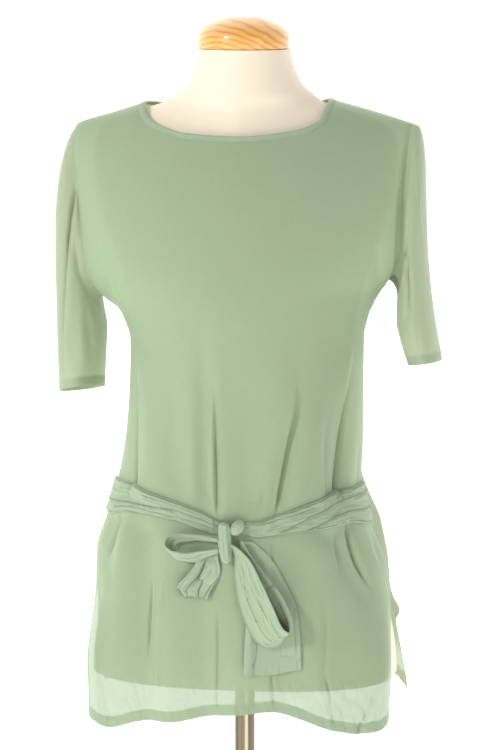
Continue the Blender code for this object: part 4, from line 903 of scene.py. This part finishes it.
def wrinkled(u, v, cells, seed, sharp=0.6):
    """Crumpled cloth from 0 to 1: rounded swells with sharp valleys that wander, join and end."""
    values = np.random.default_rng(seed).random((cells[0] + 2, cells[1] + 2))
    u, v = np.broadcast_arrays(np.clip(u, 0, 1) * cells[0], np.clip(v, 0, 1) * cells[1])
    i, j = np.minimum(u.astype(int), cells[0]), np.minimum(v.astype(int), cells[1])
    down, over = ease(u - i), ease(v - j)
    near = values[i, j] * (1 - down) + values[i + 1, j] * down
    far = values[i, j + 1] * (1 - down) + values[i + 1, j + 1] * down
    return np.abs(2 * (near * (1 - over) + far * over) - 1) ** sharp


def overlap(x, v, band, lines):
    """Strands of a band that lie over one another, each along a line of its own across the band."""
    total = np.zeros(np.broadcast(x, v).shape)
    for height, points in lines:
        line = np.array(points)
        past = (v - np.interp(x, line[:, 0], line[:, 1])) * band
        along = ease((x - line[0, 0]) / 0.012) * ease((line[-1, 0] - x) / 0.012)
        slope = np.exp(np.minimum(past, 0) / 0.005)
        drop = -0.4 * np.exp(-np.maximum(past, 0) / 0.0016)
        total += height * along * np.where(past < 0, slope, drop)
    return total


def tie_grid(front, rows, lines, seed):
    """A tie's outer and inner faces over the front: pleats, fine wrinkles and overlapping strands."""
    ends = alpha_at(rows["x"][[0, -1]], (rows["up"] + rows["low"])[[0, -1]] / 2)
    ends = np.clip(ends, -TIE_END, TIE_END)
    alpha = np.linspace(ends[0], ends[1], 210)[:, None]
    x = np.linspace(rows["x"][0], rows["x"][-1], 60)
    up, low = curves(rows, "x", "up low", x)
    x = np.interp(alpha, alpha_at(x, (up + low) / 2), x)
    v = np.linspace(0, 1, 61)[None, :]
    up, low, pleat = curves(rows, "x", "up low pleat", x)
    z = up + (low - up) * v
    rim = ease(v / 0.04) * ease((1 - v) / 0.04)
    share = (x - rows["x"][0]) / (rows["x"][-1] - rows["x"][0])
    fine = 0.0010 * wrinkled(share, v, (7, 9), seed) + 0.0005 * wrinkled(share, v, (16, 17), seed + 1)
    out = TIE_GAP + 0.0006 + (pleat * 0.8 + fine + overlap(x, v, up - low, lines)) * rim
    inside = TIE_GAP * 0.4
    return front.at(alpha, z, np.maximum(out, inside + 0.0002) + 0.0004), front.at(alpha, z, inside + 0 * z)


def tail_grid(front, rows, stations, cells, wave):
    """A tail's outer and inner faces, waving over a base that is smoother than the front."""
    t = np.linspace(0, 1, stations + 1)[:, None]
    v = np.linspace(0, 1, cells + 1)[None, :]
    left, right, height, gap = curves(rows, "t", "left right z out", t)
    lift, out = wave(t, v)
    base = front.over(left + (right - left) * v, height + lift, gap)
    for _ in range(30):
        base[:, 1:-1] = base[:, 1:-1] * 0.5 + (base[:, 2:] + base[:, :-2]) * 0.25
    normal = grid_normals(base)
    return base + normal * (out[..., None] + TAIL_WALL), base + normal * out[..., None]


def left_tail_wave(t, v):
    """How far the left tail is lifted and stands out: crumpled, with three ridges and a slanting one."""
    lift = 0.003 * np.sin(2.6 * v + 0.6) * t * t
    ridges = 0.0030 * np.abs(np.sin(math.pi * (1.6 * v + 0.25 + 0.35 * t))) ** 0.7
    slant = 0.0018 * bell((v - 0.55 + 0.5 * (t - 0.5)) / 0.07)
    crumple = 0.0040 * wrinkled(t + 0.3 * v, v, (2, 4), 11, 0.8) + 0.0008 * wrinkled(t, v, (5, 7), 6)
    return lift, (ridges + slant * ease(t / 0.3) + crumple - 0.0020) * ease(t / 0.25) + 0.0006


def right_tail_wave(t, v):
    """How far the right tail is lifted and stands out: nearly flat, with its left edge turned up."""
    lift = 0.0030 * np.sin(5.5 * v + 2.4) * t**4 - 0.0040 * t**6 * bell((v - 0.06) / 0.07)
    turned = 0.0036 * bell((v - 0.07) / 0.075)
    ripple = 0.0009 * np.sin(7.5 * v + 1.0 + 1.2 * t) * ease((v - 0.12) / 0.2)
    return lift, (turned + ripple + 0.0006 * wrinkled(t, v, (5, 7), 9)) * ease(t * 3)


def loop_grid(front, rows, stations, cells, camber, count):
    """A loop's two faces: a band between a near and a far edge, crowned, ribbed and wrinkled."""
    t = np.linspace(0, 1, stations + 1)
    v = np.linspace(0, 1, cells + 1)
    near, far = (front.over(*curves(rows, "t", names, t)) for names in ("x z out", "far_x far_z far_out"))
    middle = near[:, None] + (far - near)[:, None] * v[None, :, None]
    normal = grid_normals(middle)
    t, v = t[:, None], v[None, :]
    crown = camber * 4 * v * (1 - v) * np.sin(math.pi * np.clip(t, 0.02, 0.98))
    fade = np.sin(math.pi * t) ** 0.5
    ribs = 0.0012 * strands(v, t * 0.15, count, 0.1, 0.6) * fade
    ribs = ribs + 0.0011 * wrinkled(t, v, (9, 6), count + 20) * fade
    middle = middle + normal * (crown + ribs)[..., None]
    return middle + normal * LOOP_WALL / 2, middle - normal * LOOP_WALL / 2


def lump_mesh(name, front, rows, stations, sides, along_x, ridges, twist):
    """A closed lump of wound cloth with ridges round or along it."""
    t = 0.5 - 0.5 * np.cos(np.linspace(0, math.pi, stations + 1))
    angle = np.linspace(0, 2 * math.pi, sides, endpoint=False)
    x, z, half, deep, out = curves(rows, "t", "x z half deep out", t[:, None])
    full = np.sin(math.pi * np.clip(t, 0, 1))[:, None] ** 0.5
    swell = 1 + 0.26 * full * (np.abs(np.sin(ridges * angle / 2 + twist * t[:, None])) ** 0.5 - 0.60)
    side_step = half * np.cos(angle) * swell
    rise = out + deep * np.sin(angle) * swell
    if along_x:
        rings = front.over(x + 0 * side_step, z + side_step, rise)
    else:
        rings = front.over(x + side_step, z + 0 * side_step, rise)
    points = np.concatenate([rings.reshape(-1, 3), [rings[0].mean(0)], [rings[-1].mean(0)]])
    faces = [face[::-1] for face in closed_faces(stations + 1, sides)]
    uv = np.stack(np.meshgrid(angle * 0.006, -t * 0.05, indexing="xy"), -1).reshape(-1, 2)
    return add_mesh(name, points + WORN, faces, np.concatenate([uv, [(0, 0)], [(0, -0.05)]]))


def build_bow(panel):
    front = Front(panel["angles"], panel["outer"], panel["normal"])
    walls = {
        "tie_left_cloth": tie_grid(front, LEFT_TIE, LEFT_OVERLAPS, 1),
        "tie_right_cloth": tie_grid(front, RIGHT_TIE, RIGHT_OVERLAPS, 3),
        "tail_left_cloth": tail_grid(front, LEFT_TAIL, 60, 54, left_tail_wave),
        "tail_right_cloth": tail_grid(front, RIGHT_TAIL, 80, 50, right_tail_wave),
        "loop_left_cloth": loop_grid(front, LEFT_LOOP, 130, 26, 0.0012, 2),
        "loop_right_cloth": loop_grid(front, RIGHT_LOOP, 210, 40, 0.0015, 3),
    }
    pieces = {name: wall_mesh(name, *faces) for name, faces in walls.items()}
    pieces["knot_wrap_cloth"] = lump_mesh("knot_wrap_cloth", front, KNOT_WRAP, 40, 48, False, 7, 1.5)
    pieces["knot_top_cloth"] = lump_mesh("knot_top_cloth", front, KNOT_TOP, 36, 48, True, 6, 2.5)
    return pieces


# The binding and the stitching


def neck_line(front, back):
    """The closed line of the panels' edges round the neck, and the outward normals there."""
    first, count = front["cells"][0], front["cells"][1]
    ahead = slice(first, first + count + 1)
    first, count_back = back["cells"][0], back["cells"][1]
    behind = slice(first + count_back - 1, first, -1)
    line = np.concatenate([front["outer"][0, ahead], back["outer"][0, behind]])
    normal = np.concatenate([front["normal"][0, ahead], back["normal"][0, behind]])
    for index in (0, count):
        line[index, 1] = 0.0
        normal[index] = unit(np.array([math.copysign(0.28, line[index, 0]), 0, 1]))
    for _ in range(14):
        normal = unit(np.roll(normal, 1, 0) + 2 * normal + np.roll(normal, -1, 0))
    tangent = unit(np.roll(line, -1, 0) - np.roll(line, 1, 0))
    inward = unit(np.cross(normal, tangent))
    inward *= np.sign(((line.mean(0) + (0, 0, 0.1) - line) * inward).sum(-1))[:, None]
    return line, normal, inward


def build_binding(front, back):
    """The narrow rolled band round the neck."""
    line, normal, inward = neck_line(front, back)
    run = runs(line, 0)
    pucker = 0.00018 * np.sin(run * 900) + 0.00015 * np.sin(run * 530 + 1)
    rings = [line + inward * b + normal * (n + pucker * (n > 0.001))[:, None] for b, n in BINDING_SECTION]
    count, sides = len(line), len(BINDING_SECTION)
    faces = quads(sides + 1, count, ring=True)[:, ::-1] % (sides * count)
    uv = np.stack(np.meshgrid(run, np.arange(sides) * 0.0015, indexing="xy"), -1).reshape(-1, 2)[:, ::-1]
    return add_mesh("neck_binding_cloth", np.array(rings).reshape(-1, 3) + WORN, faces, uv)


def stitch_row(name, line, normal):
    """A row of stitches: short raised threads along a closed line on the cloth."""
    line, normal = (np.concatenate([rows, rows[:1]]) for rows in (line, normal))
    run = runs(line, 0)

    def along(rows, at):
        return np.array([np.interp(at, run, rows[:, axis]) for axis in range(3)])

    points, faces = [], []
    for k in range(int(run[-1] / STITCH["pitch"])):
        for share, rise in STITCH_SHAPE:
            at = k * STITCH["pitch"] + share * STITCH["length"]
            place, ahead, out = along(line, at), along(line, at + 0.0004), unit(along(normal, at))
            side = unit(np.cross(unit(ahead - place + 1e-9), out)) * STITCH["width"] / 2 * max(rise, 0.35)
            under, lift = out * 0.0001, out * STITCH["width"] * 0.55 * rise
            points += [place + side - under, place + lift, place - side - under]
        for a in range(len(points) - 15, len(points) - 3, 3):
            faces += [(a, a + 1, a + 4, a + 3), (a + 1, a + 2, a + 5, a + 4)]
    return add_mesh(name, np.array(points) + WORN, faces)


def build_stitches(sleeves):
    made = {}
    for side, name in ((-1, "left"), (1, "right")):
        grid, normal = sleeves[side]
        for number, reach in enumerate(STITCH_ROWS):
            at, share = up_from_hem(grid, reach)
            key = f"stitch_{name}_cuff_{number + 1}"
            out = normal[-at, np.arange(grid.shape[1])]
            made[key] = stitch_row(key, between_rows(grid, at, share), out)
    return made


# The dress form


def build_form():
    """The form's cover, on finer rings than the solid's."""
    levels = []
    for low, high in zip(FORM["z"], FORM["z"][1:]):
        steps = max(2, int((high - low) / 0.006))
        levels += list(np.linspace(low, high, steps + 1)[:-1])
    levels = np.array(levels + [NECK_TOP])
    sides = 112
    turns = 2 * math.pi * np.arange(sides) / sides
    half, ahead, behind, rounding = curves(FORM, "z", "half front back round", levels[:, None])
    cosine, sine = np.cos(turns), np.sin(turns)
    x = half * np.sign(cosine) * np.abs(cosine) ** (2 / rounding)
    y = np.where(sine < 0, ahead, behind) * np.sign(sine) * np.abs(sine) ** (2 / rounding)
    rings = np.stack([x, y, levels[:, None] + 0 * x], -1)
    points = np.concatenate([rings.reshape(-1, 3), [(0, 0, levels[0])], [(0, NECK_Y, levels[-1])]])
    uv = np.concatenate([measures(rings).reshape(-1, 2), [(0, 0)], [(0, 0)]])
    return add_mesh("form_cover", points, closed_faces(len(levels), sides), uv, 40)


def build_cap():
    """The neck cap, turned about its axis, with its outline rounded between the solid's points."""
    at = np.linspace(0, CAP["point"][-1], 67)
    radius, rise = curves(CAP, "point", "radius rise", at)
    sides = 128
    turns = 2 * math.pi * np.arange(sides) / sides
    height = NECK_TOP + SEAM_GAP + rise
    around = np.stack([np.cos(turns), np.sin(turns)], -1)
    rings = [np.column_stack([r * around, np.full(sides, h)]) for r, h in zip(radius, height)]
    points = np.concatenate(rings + [[(0, 0, height[0])], [(0, 0, height[-1])]]) + (0, NECK_Y, 0)
    return add_mesh("cap_wood", points, closed_faces(len(at), sides), None, 40)


# Materials


class Nodes:
    """A small helper that adds and links shader nodes."""

    def __init__(self, tree):
        self.tree = tree

    def put(self, node, key, value):
        socket = node.inputs[key.replace("_", " ") if isinstance(key, str) else key]
        if isinstance(value, bpy.types.NodeSocket):
            self.tree.links.new(value, socket)
        else:
            socket.default_value = value

    def add(self, kind, settings=(), **inputs):
        node = self.tree.nodes.new("ShaderNode" + kind)
        for key, value in dict(settings).items():
            setattr(node, key, value)
        for key, value in inputs.items():
            self.put(node, key, value)
        return node

    def mix(self, factor, first, second, blend="MIX"):
        node = self.add("Mix", {"data_type": "RGBA", "blend_type": blend})
        for index, value in ((0, factor), (6, first), (7, second)):
            self.put(node, index, value)
        return node.outputs[2]

    def math(self, operation, first, second=0.0):
        node = self.add("Math", {"operation": operation})
        self.put(node, 0, first)
        self.put(node, 1, second)
        return node.outputs[0]

    def noise(self, vector, scale=1.0, detail=2.0, roughness=0.5):
        inputs = {"Vector": vector, "Scale": scale, "Detail": detail, "Roughness": roughness}
        return self.add("TexNoise", **inputs).outputs["Fac"]

    def stretched(self, vector, scale, **inputs):
        return self.add("Mapping", Vector=vector, Scale=scale, **inputs).outputs["Vector"]

    def spread(self, value, low, high, first, last, settings=()):
        inputs = {"From_Min": low, "From_Max": high, "To_Min": first, "To_Max": last}
        return self.add("MapRange", settings, Value=value, **inputs).outputs["Result"]

    def ramp(self, value, *stops):
        node = self.add("ValToRGB", Fac=value)
        for element, (position, tone) in zip(node.color_ramp.elements, stops):
            element.position = position
            element.color = tone
        return node.outputs["Color"]

    def bump(self, height, strength, distance):
        return self.add("Bump", Strength=strength, Distance=distance, Height=height).outputs["Normal"]


class Look(Nodes):
    """A new material's nodes, with its own measure and its place in the object to draw on."""

    def __init__(self, name):
        self.material = bpy.data.materials.new(name)
        self.material.use_nodes = True
        super().__init__(self.material.node_tree)
        self.shader = self.tree.nodes["Principled BSDF"]

    def measure(self):
        return self.add("UVMap").outputs["UV"]

    def place(self):
        return self.add("TexCoord").outputs["Object"]

    def set(self, **values):
        for key, value in values.items():
            self.put(self.shader, key, value)

    def let_light_through(self, share, tone, normal):
        glow = self.add("BsdfTranslucent", Color=tone, Normal=normal)
        mix = self.add("MixShader")
        for index, value in enumerate((share, self.shader.outputs[0], glow.outputs[0])):
            self.put(mix, index, value)
        self.put(self.tree.nodes["Material Output"], "Surface", mix.outputs[0])


def colour(r, g, b):
    return (r, g, b, 1.0)


def cloth_material(
    name, base, dark, pale, knit=False, alpha=1.0, through_light=0.0,
    mottle=0.35, bump=0.25, sheen=0.42, slub=0.22,
):
    """Matt cloth with a fine weave or knit, soft mottling, slubs, painted shade in tight creases and a little
    fuzz.
    """
    nodes = Look(name)
    uv = nodes.measure()
    if knit:
        weave = nodes.noise(nodes.stretched(uv, (1100.0, 260.0, 1.0)), 1.0, 3.0, 0.6)
        ribs = nodes.add("TexWave", {"bands_direction": "X"}, Vector=uv, Scale=190.0, Distortion=0.6)
        long = ribs.outputs["Fac"]
    else:
        weave = nodes.noise(nodes.stretched(uv, (1100.0, 1000.0, 1.0)), 1.0, 4.0, 0.65)
        long = nodes.noise(nodes.stretched(uv, (700.0, 84.0, 1.0)))
    clouds = nodes.noise(nodes.place(), 9.0, 3.0, 0.55)
    tone = nodes.mix(nodes.math("MULTIPLY", clouds, mottle), base, pale)
    tone = nodes.mix(nodes.math("SUBTRACT", weave, 0.35), tone, dark)
    for scale in ((260.0, 70.0, 1.0), (70.0, 260.0, 1.0)):
        slubs = nodes.noise(nodes.stretched(uv, scale))
        tone = nodes.mix(nodes.math("MULTIPLY", slubs, slub), tone, dark)
    # Painted shade: the colour darkens towards the crease shade tone in tight creases
    crease_shade = nodes.add("Attribute", {"attribute_name": "painted_shade"}).outputs["Fac"]
    tone = nodes.mix(nodes.math("MULTIPLY", crease_shade, 0.62), tone, CREASE_SHADE_TONE)
    height = nodes.math("ADD", weave, nodes.math("MULTIPLY", long, 0.35 if knit else 0.8))
    normal = nodes.bump(height, bump, 0.0006)
    nodes.set(Base_Color=tone, Roughness=0.82, Normal=normal, Specular_IOR_Level=0.25, Alpha=alpha)
    nodes.set(Sheen_Weight=sheen, Sheen_Roughness=0.30, Sheen_Tint=colour(0.97, 1.0, 0.90))
    if through_light:
        nodes.let_light_through(through_light, tone, normal)
    return nodes.material


def wood_material():
    """Varnished pine: long growth rings round a tilted axis, fine fibres and a clear gloss."""
    nodes = Look("pine_look")
    axis = {"Location": (0.012, 0.0, -1.335), "Rotation": (0.05, 0.0, 0.12)}
    turned = nodes.stretched(nodes.place(), (1.0, 1.0, 1.0), **axis)
    bend = nodes.add("TexNoise", Vector=turned, Scale=14.0, Detail=3.0).outputs["Color"]
    bent = nodes.mix(0.006, turned, bend, "LINEAR_LIGHT")
    kind = {"wave_type": "RINGS", "rings_direction": "Y"}
    swirl = {"Distortion": 1.6, "Detail": 3.0, "Detail_Scale": 2.0}
    rings = nodes.add("TexWave", kind, Vector=bent, Scale=46.0, **swirl).outputs["Fac"]
    fibres = nodes.noise(nodes.stretched(turned, (60.0, 30.0, 1300.0)), 1.0, 5.0, 0.6)
    tone = nodes.ramp(rings, (0.35, colour(0.84, 0.42, 0.100)), (1.0, colour(0.60, 0.235, 0.042)))
    tone = nodes.mix(nodes.math("MULTIPLY", fibres, 0.30), tone, colour(0.90, 0.54, 0.18))
    normal = nodes.bump(fibres, 0.05, 0.0005)
    nodes.set(Base_Color=tone, Roughness=0.38, Normal=normal, Coat_Weight=0.6, Coat_Roughness=0.10)
    return nodes.material


def cover_material():
    """The form's cream jersey, fine and matt."""
    nodes = Look("cover_look")
    weave = nodes.noise(nodes.stretched(nodes.measure(), (1500.0, 500.0, 1.0)), 1.0, 3.0, 0.6)
    clouds = nodes.noise(nodes.place(), 7.0)
    tone = nodes.mix(clouds, colour(0.81, 0.71, 0.565), colour(0.86, 0.76, 0.61))
    tone = nodes.mix(nodes.math("MULTIPLY", weave, 0.14), tone, colour(0.66, 0.55, 0.42))
    nodes.set(Base_Color=tone, Roughness=0.75, Normal=nodes.bump(weave, 0.12, 0.0004))
    nodes.set(Sheen_Weight=0.2, Sheen_Tint=colour(1.0, 0.95, 0.86), Specular_IOR_Level=0.3)
    return nodes.material


def pole_material(middle):
    """Drawn steel, dark with faint streaks and one painted highlight line along the tube, which stands in for
    a reflection.
    """
    nodes = Look("pole_look")
    place = nodes.place()
    streak = nodes.noise(nodes.stretched(place, (150.0, 150.0, 1.2), Location=POLE_STREAKS), 1.0, 2.0, 0.45)
    tone = nodes.ramp(streak, (0.47, colour(0.125, 0.098, 0.060)), (0.66, colour(0.205, 0.168, 0.115)))
    # Painted highlight: a bright line in the colour at a fixed place across the pole, standing in for a
    # reflection
    across = nodes.add("SeparateXYZ", Vector=place).outputs["X"]
    highlight_distance = nodes.math("ABSOLUTE", nodes.math("SUBTRACT", across, middle + PAINTED_POLE_HIGHLIGHT["offset"]))
    line = nodes.spread(highlight_distance, PAINTED_POLE_HIGHLIGHT["core"], PAINTED_POLE_HIGHLIGHT["edge"], 1.0, 0.0)
    nodes.set(Base_Color=nodes.mix(line, tone, colour(0.50, 0.45, 0.35)), Metallic=1.0, Roughness=0.24)
    return nodes.material


def steel_material():
    """Brushed steel with fine streaks."""
    nodes = Look("steel_look")
    brush = nodes.noise(nodes.stretched(nodes.place(), (60.0, 60.0, 1800.0)), 1.0, 4.0, 0.7)
    tone = nodes.mix(brush, colour(0.17, 0.145, 0.095), colour(0.26, 0.225, 0.165))
    rough = nodes.math("ADD", nodes.math("MULTIPLY", brush, 0.16), 0.34)
    nodes.set(Base_Color=tone, Metallic=1.0, Roughness=rough, Normal=nodes.bump(brush, 0.08, 0.0003))
    return nodes.material


def thread_material():
    nodes = Look("thread_look")
    tone = nodes.mix(nodes.noise(nodes.place(), 900.0), colour(0.38, 0.47, 0.33), colour(0.55, 0.64, 0.47))
    nodes.set(Base_Color=tone, Roughness=0.7, Sheen_Weight=0.2)
    return nodes.material


def cloth_materials():
    """The front's crepe, which is sheer where nothing lies behind it, the ties' crepe and the jersey."""
    base, dark, pale = colour(0.350, 0.452, 0.286), colour(0.25, 0.34, 0.20), colour(0.42, 0.51, 0.365)
    sheer = cloth_material("crepe_sheer", base, dark, pale, alpha=0.84)
    base, dark = colour(0.372, 0.462, 0.316), colour(0.25, 0.33, 0.21)
    crepe = cloth_material("crepe_look", base, dark, pale, mottle=0.5, bump=0.5, slub=0.3)
    base, dark, pale = colour(0.55, 0.625, 0.455), colour(0.41, 0.485, 0.33), colour(0.62, 0.69, 0.52)
    jersey = cloth_material("jersey_look", base, dark, pale, knit=True, through_light=0.42, sheen=0.7)
    return sheer, crepe, jersey


# Putting the pieces in the frame

REPLACED = {
    "front_cloth": ("front_panel", "front_cloth"),
    "back_cloth": ("back_panel", "jersey"),
    "sleeve_left_cloth": ("sleeve_left", "jersey"),
    "sleeve_right_cloth": ("sleeve_right", "jersey"),
    "neck_binding_cloth": ("neck_binding", "front_cloth"),
    "form_cover": ("form_body", "form_cover"),
    "cap_wood": ("neck_cap", "pine"),
}
for node in "tie_left tie_right tail_left tail_right loop_left loop_right knot_wrap knot_top".split():
    REPLACED[f"{node}_cloth"] = (node, "tie_cloth")


def build_all():
    front, back, sleeves, pieces = build_blouse()
    pieces.update(build_bow(front))
    pieces["neck_binding_cloth"] = build_binding(front, back)
    pieces.update(build_stitches(sleeves))
    pieces["form_cover"] = build_form()
    pieces["cap_wood"] = build_cap()
    return pieces


def dress(pieces):
    """Gives each piece its material and its body, hides the solid that it stands for, and gives the pole and
    the foot their own looks.
    """
    sheer, crepe, jersey = cloth_materials()
    thread = thread_material()
    looks = {
        "form_cover": cover_material(),
        "cap_wood": wood_material(),
        "front_cloth": sheer,
        "back_cloth": jersey,
        "sleeve": jersey,
        "stitch": thread,
    }
    for name, piece in pieces.items():
        look = next((looks[start] for start in looks if name.startswith(start)), crepe)
        piece.data.materials.append(look)
        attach(piece, "root")
        if name in REPLACED:
            node, slot = REPLACED[name]
            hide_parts(node)
        elif name.startswith("front_cloth"):
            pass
        else:
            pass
    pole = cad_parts["pole"]
    middle = sum(corner[0] for corner in pole.bound_box) / len(pole.bound_box)
    for solid, look in ((pole, pole_material(middle)), (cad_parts["foot"], steel_material())):
        solid.data.materials.clear()
        solid.data.materials.append(look)


# Floor, light and camera


def add_floor():
    floor_mesh = bpy.data.meshes.new("floor")
    reach, sides = 9.0, 96
    turns = [2 * math.pi * k / sides for k in range(sides)]
    ring = [(reach * math.cos(turn), reach * math.sin(turn), 0.0) for turn in turns]
    floor_mesh.from_pydata(ring, [], [list(range(sides))])
    floor = bpy.data.objects.new("floor", floor_mesh)
    bpy.context.scene.collection.objects.link(floor)
    nodes = Look("floor_white")
    nodes.set(Base_Color=colour(0.93, 0.93, 0.92), Roughness=0.9)
    nodes.set(Emission_Color=colour(1, 1, 1), Emission_Strength=0.62)
    floor_mesh.materials.append(nodes.material)


def light_world():
    """Soft light that is brighter from behind and from the left; seen directly, the backdrop is white."""
    world = bpy.data.worlds.new("studio")
    bpy.context.scene.world = world
    world.use_nodes = True
    nodes = Nodes(world.node_tree)
    split = nodes.add("SeparateXYZ", Vector=nodes.add("TexCoord").outputs["Generated"]).outputs
    smooth = {"interpolation_type": "SMOOTHSTEP"}
    depth = nodes.spread(split["Y"], -0.65, 0.90, 0.25, 2.00, smooth)
    side = nodes.spread(split["X"], -0.9, 0.9, 1.20, 0.93, smooth)
    plain = nodes.add("Mix")
    seen = nodes.add("LightPath").outputs["Is Camera Ray"]
    for index, value in ((0, seen), (2, nodes.math("MULTIPLY", depth, side)), (3, 1.1)):
        nodes.put(plain, index, value)
    background = world.node_tree.nodes["Background"]
    nodes.put(background, "Strength", plain.outputs[0])
    nodes.put(background, "Color", colour(1.0, 1.0, 1.0))


def add_lamps():
    lamps = {
        "key": ((-1.9, -2.5, 2.3), (0.45, 0.55), 52, (0.99, 0.99, 0.985)),
        "fill": ((2.2, -2.4, 1.4), (1.2, 1.4), 11, (1.0, 1.0, 1.0)),
    }
    for name, (place, size, power, tint) in lamps.items():
        light = bpy.data.lights.new(name, "AREA")
        light.shape = "RECTANGLE"
        light.size, light.size_y = size
        light.energy = power
        light.color = tint
        lamp = bpy.data.objects.new(name, light)
        bpy.context.scene.collection.objects.link(lamp)
        lamp.location = place
        toward = Vector((0, 0, 1.0)) - Vector(place)
        lamp.rotation_euler = toward.to_track_quat("-Z", "Y").to_euler()


def place_camera():
    """The photograph's view: 7 degrees round from the front, 9.5 degrees above level, 3 m away."""
    turn, lift, distance, pixel = math.radians(7), math.radians(9.5), 3.0, 0.00123
    target = Vector((0.0065, 0, 1.010))
    back = Vector((math.sin(turn) * math.cos(lift), -math.cos(turn) * math.cos(lift), math.sin(lift)))
    right = Vector((math.cos(turn), math.sin(turn), 0))
    up = back.cross(right)
    lens = bpy.data.cameras.new("camera")
    lens.sensor_fit = "VERTICAL"
    lens.sensor_height = 36
    lens.lens = lens.sensor_height * distance / (PHOTO_HEIGHT * pixel)
    camera = bpy.data.objects.new("camera", lens)
    bpy.context.scene.collection.objects.link(camera)
    pose = Matrix((right, up, back)).transposed().to_4x4()
    pose.translation = target + back * distance
    camera.matrix_world = pose
    bpy.context.scene.camera = camera
    bpy.context.scene.view_settings.view_transform = "Standard"
    bpy.context.scene.view_settings.look = "None"


place_camera()
pieces = build_all()
dress(pieces)
add_floor()
light_world()
add_lamps()
bpy.context.view_layer.update()
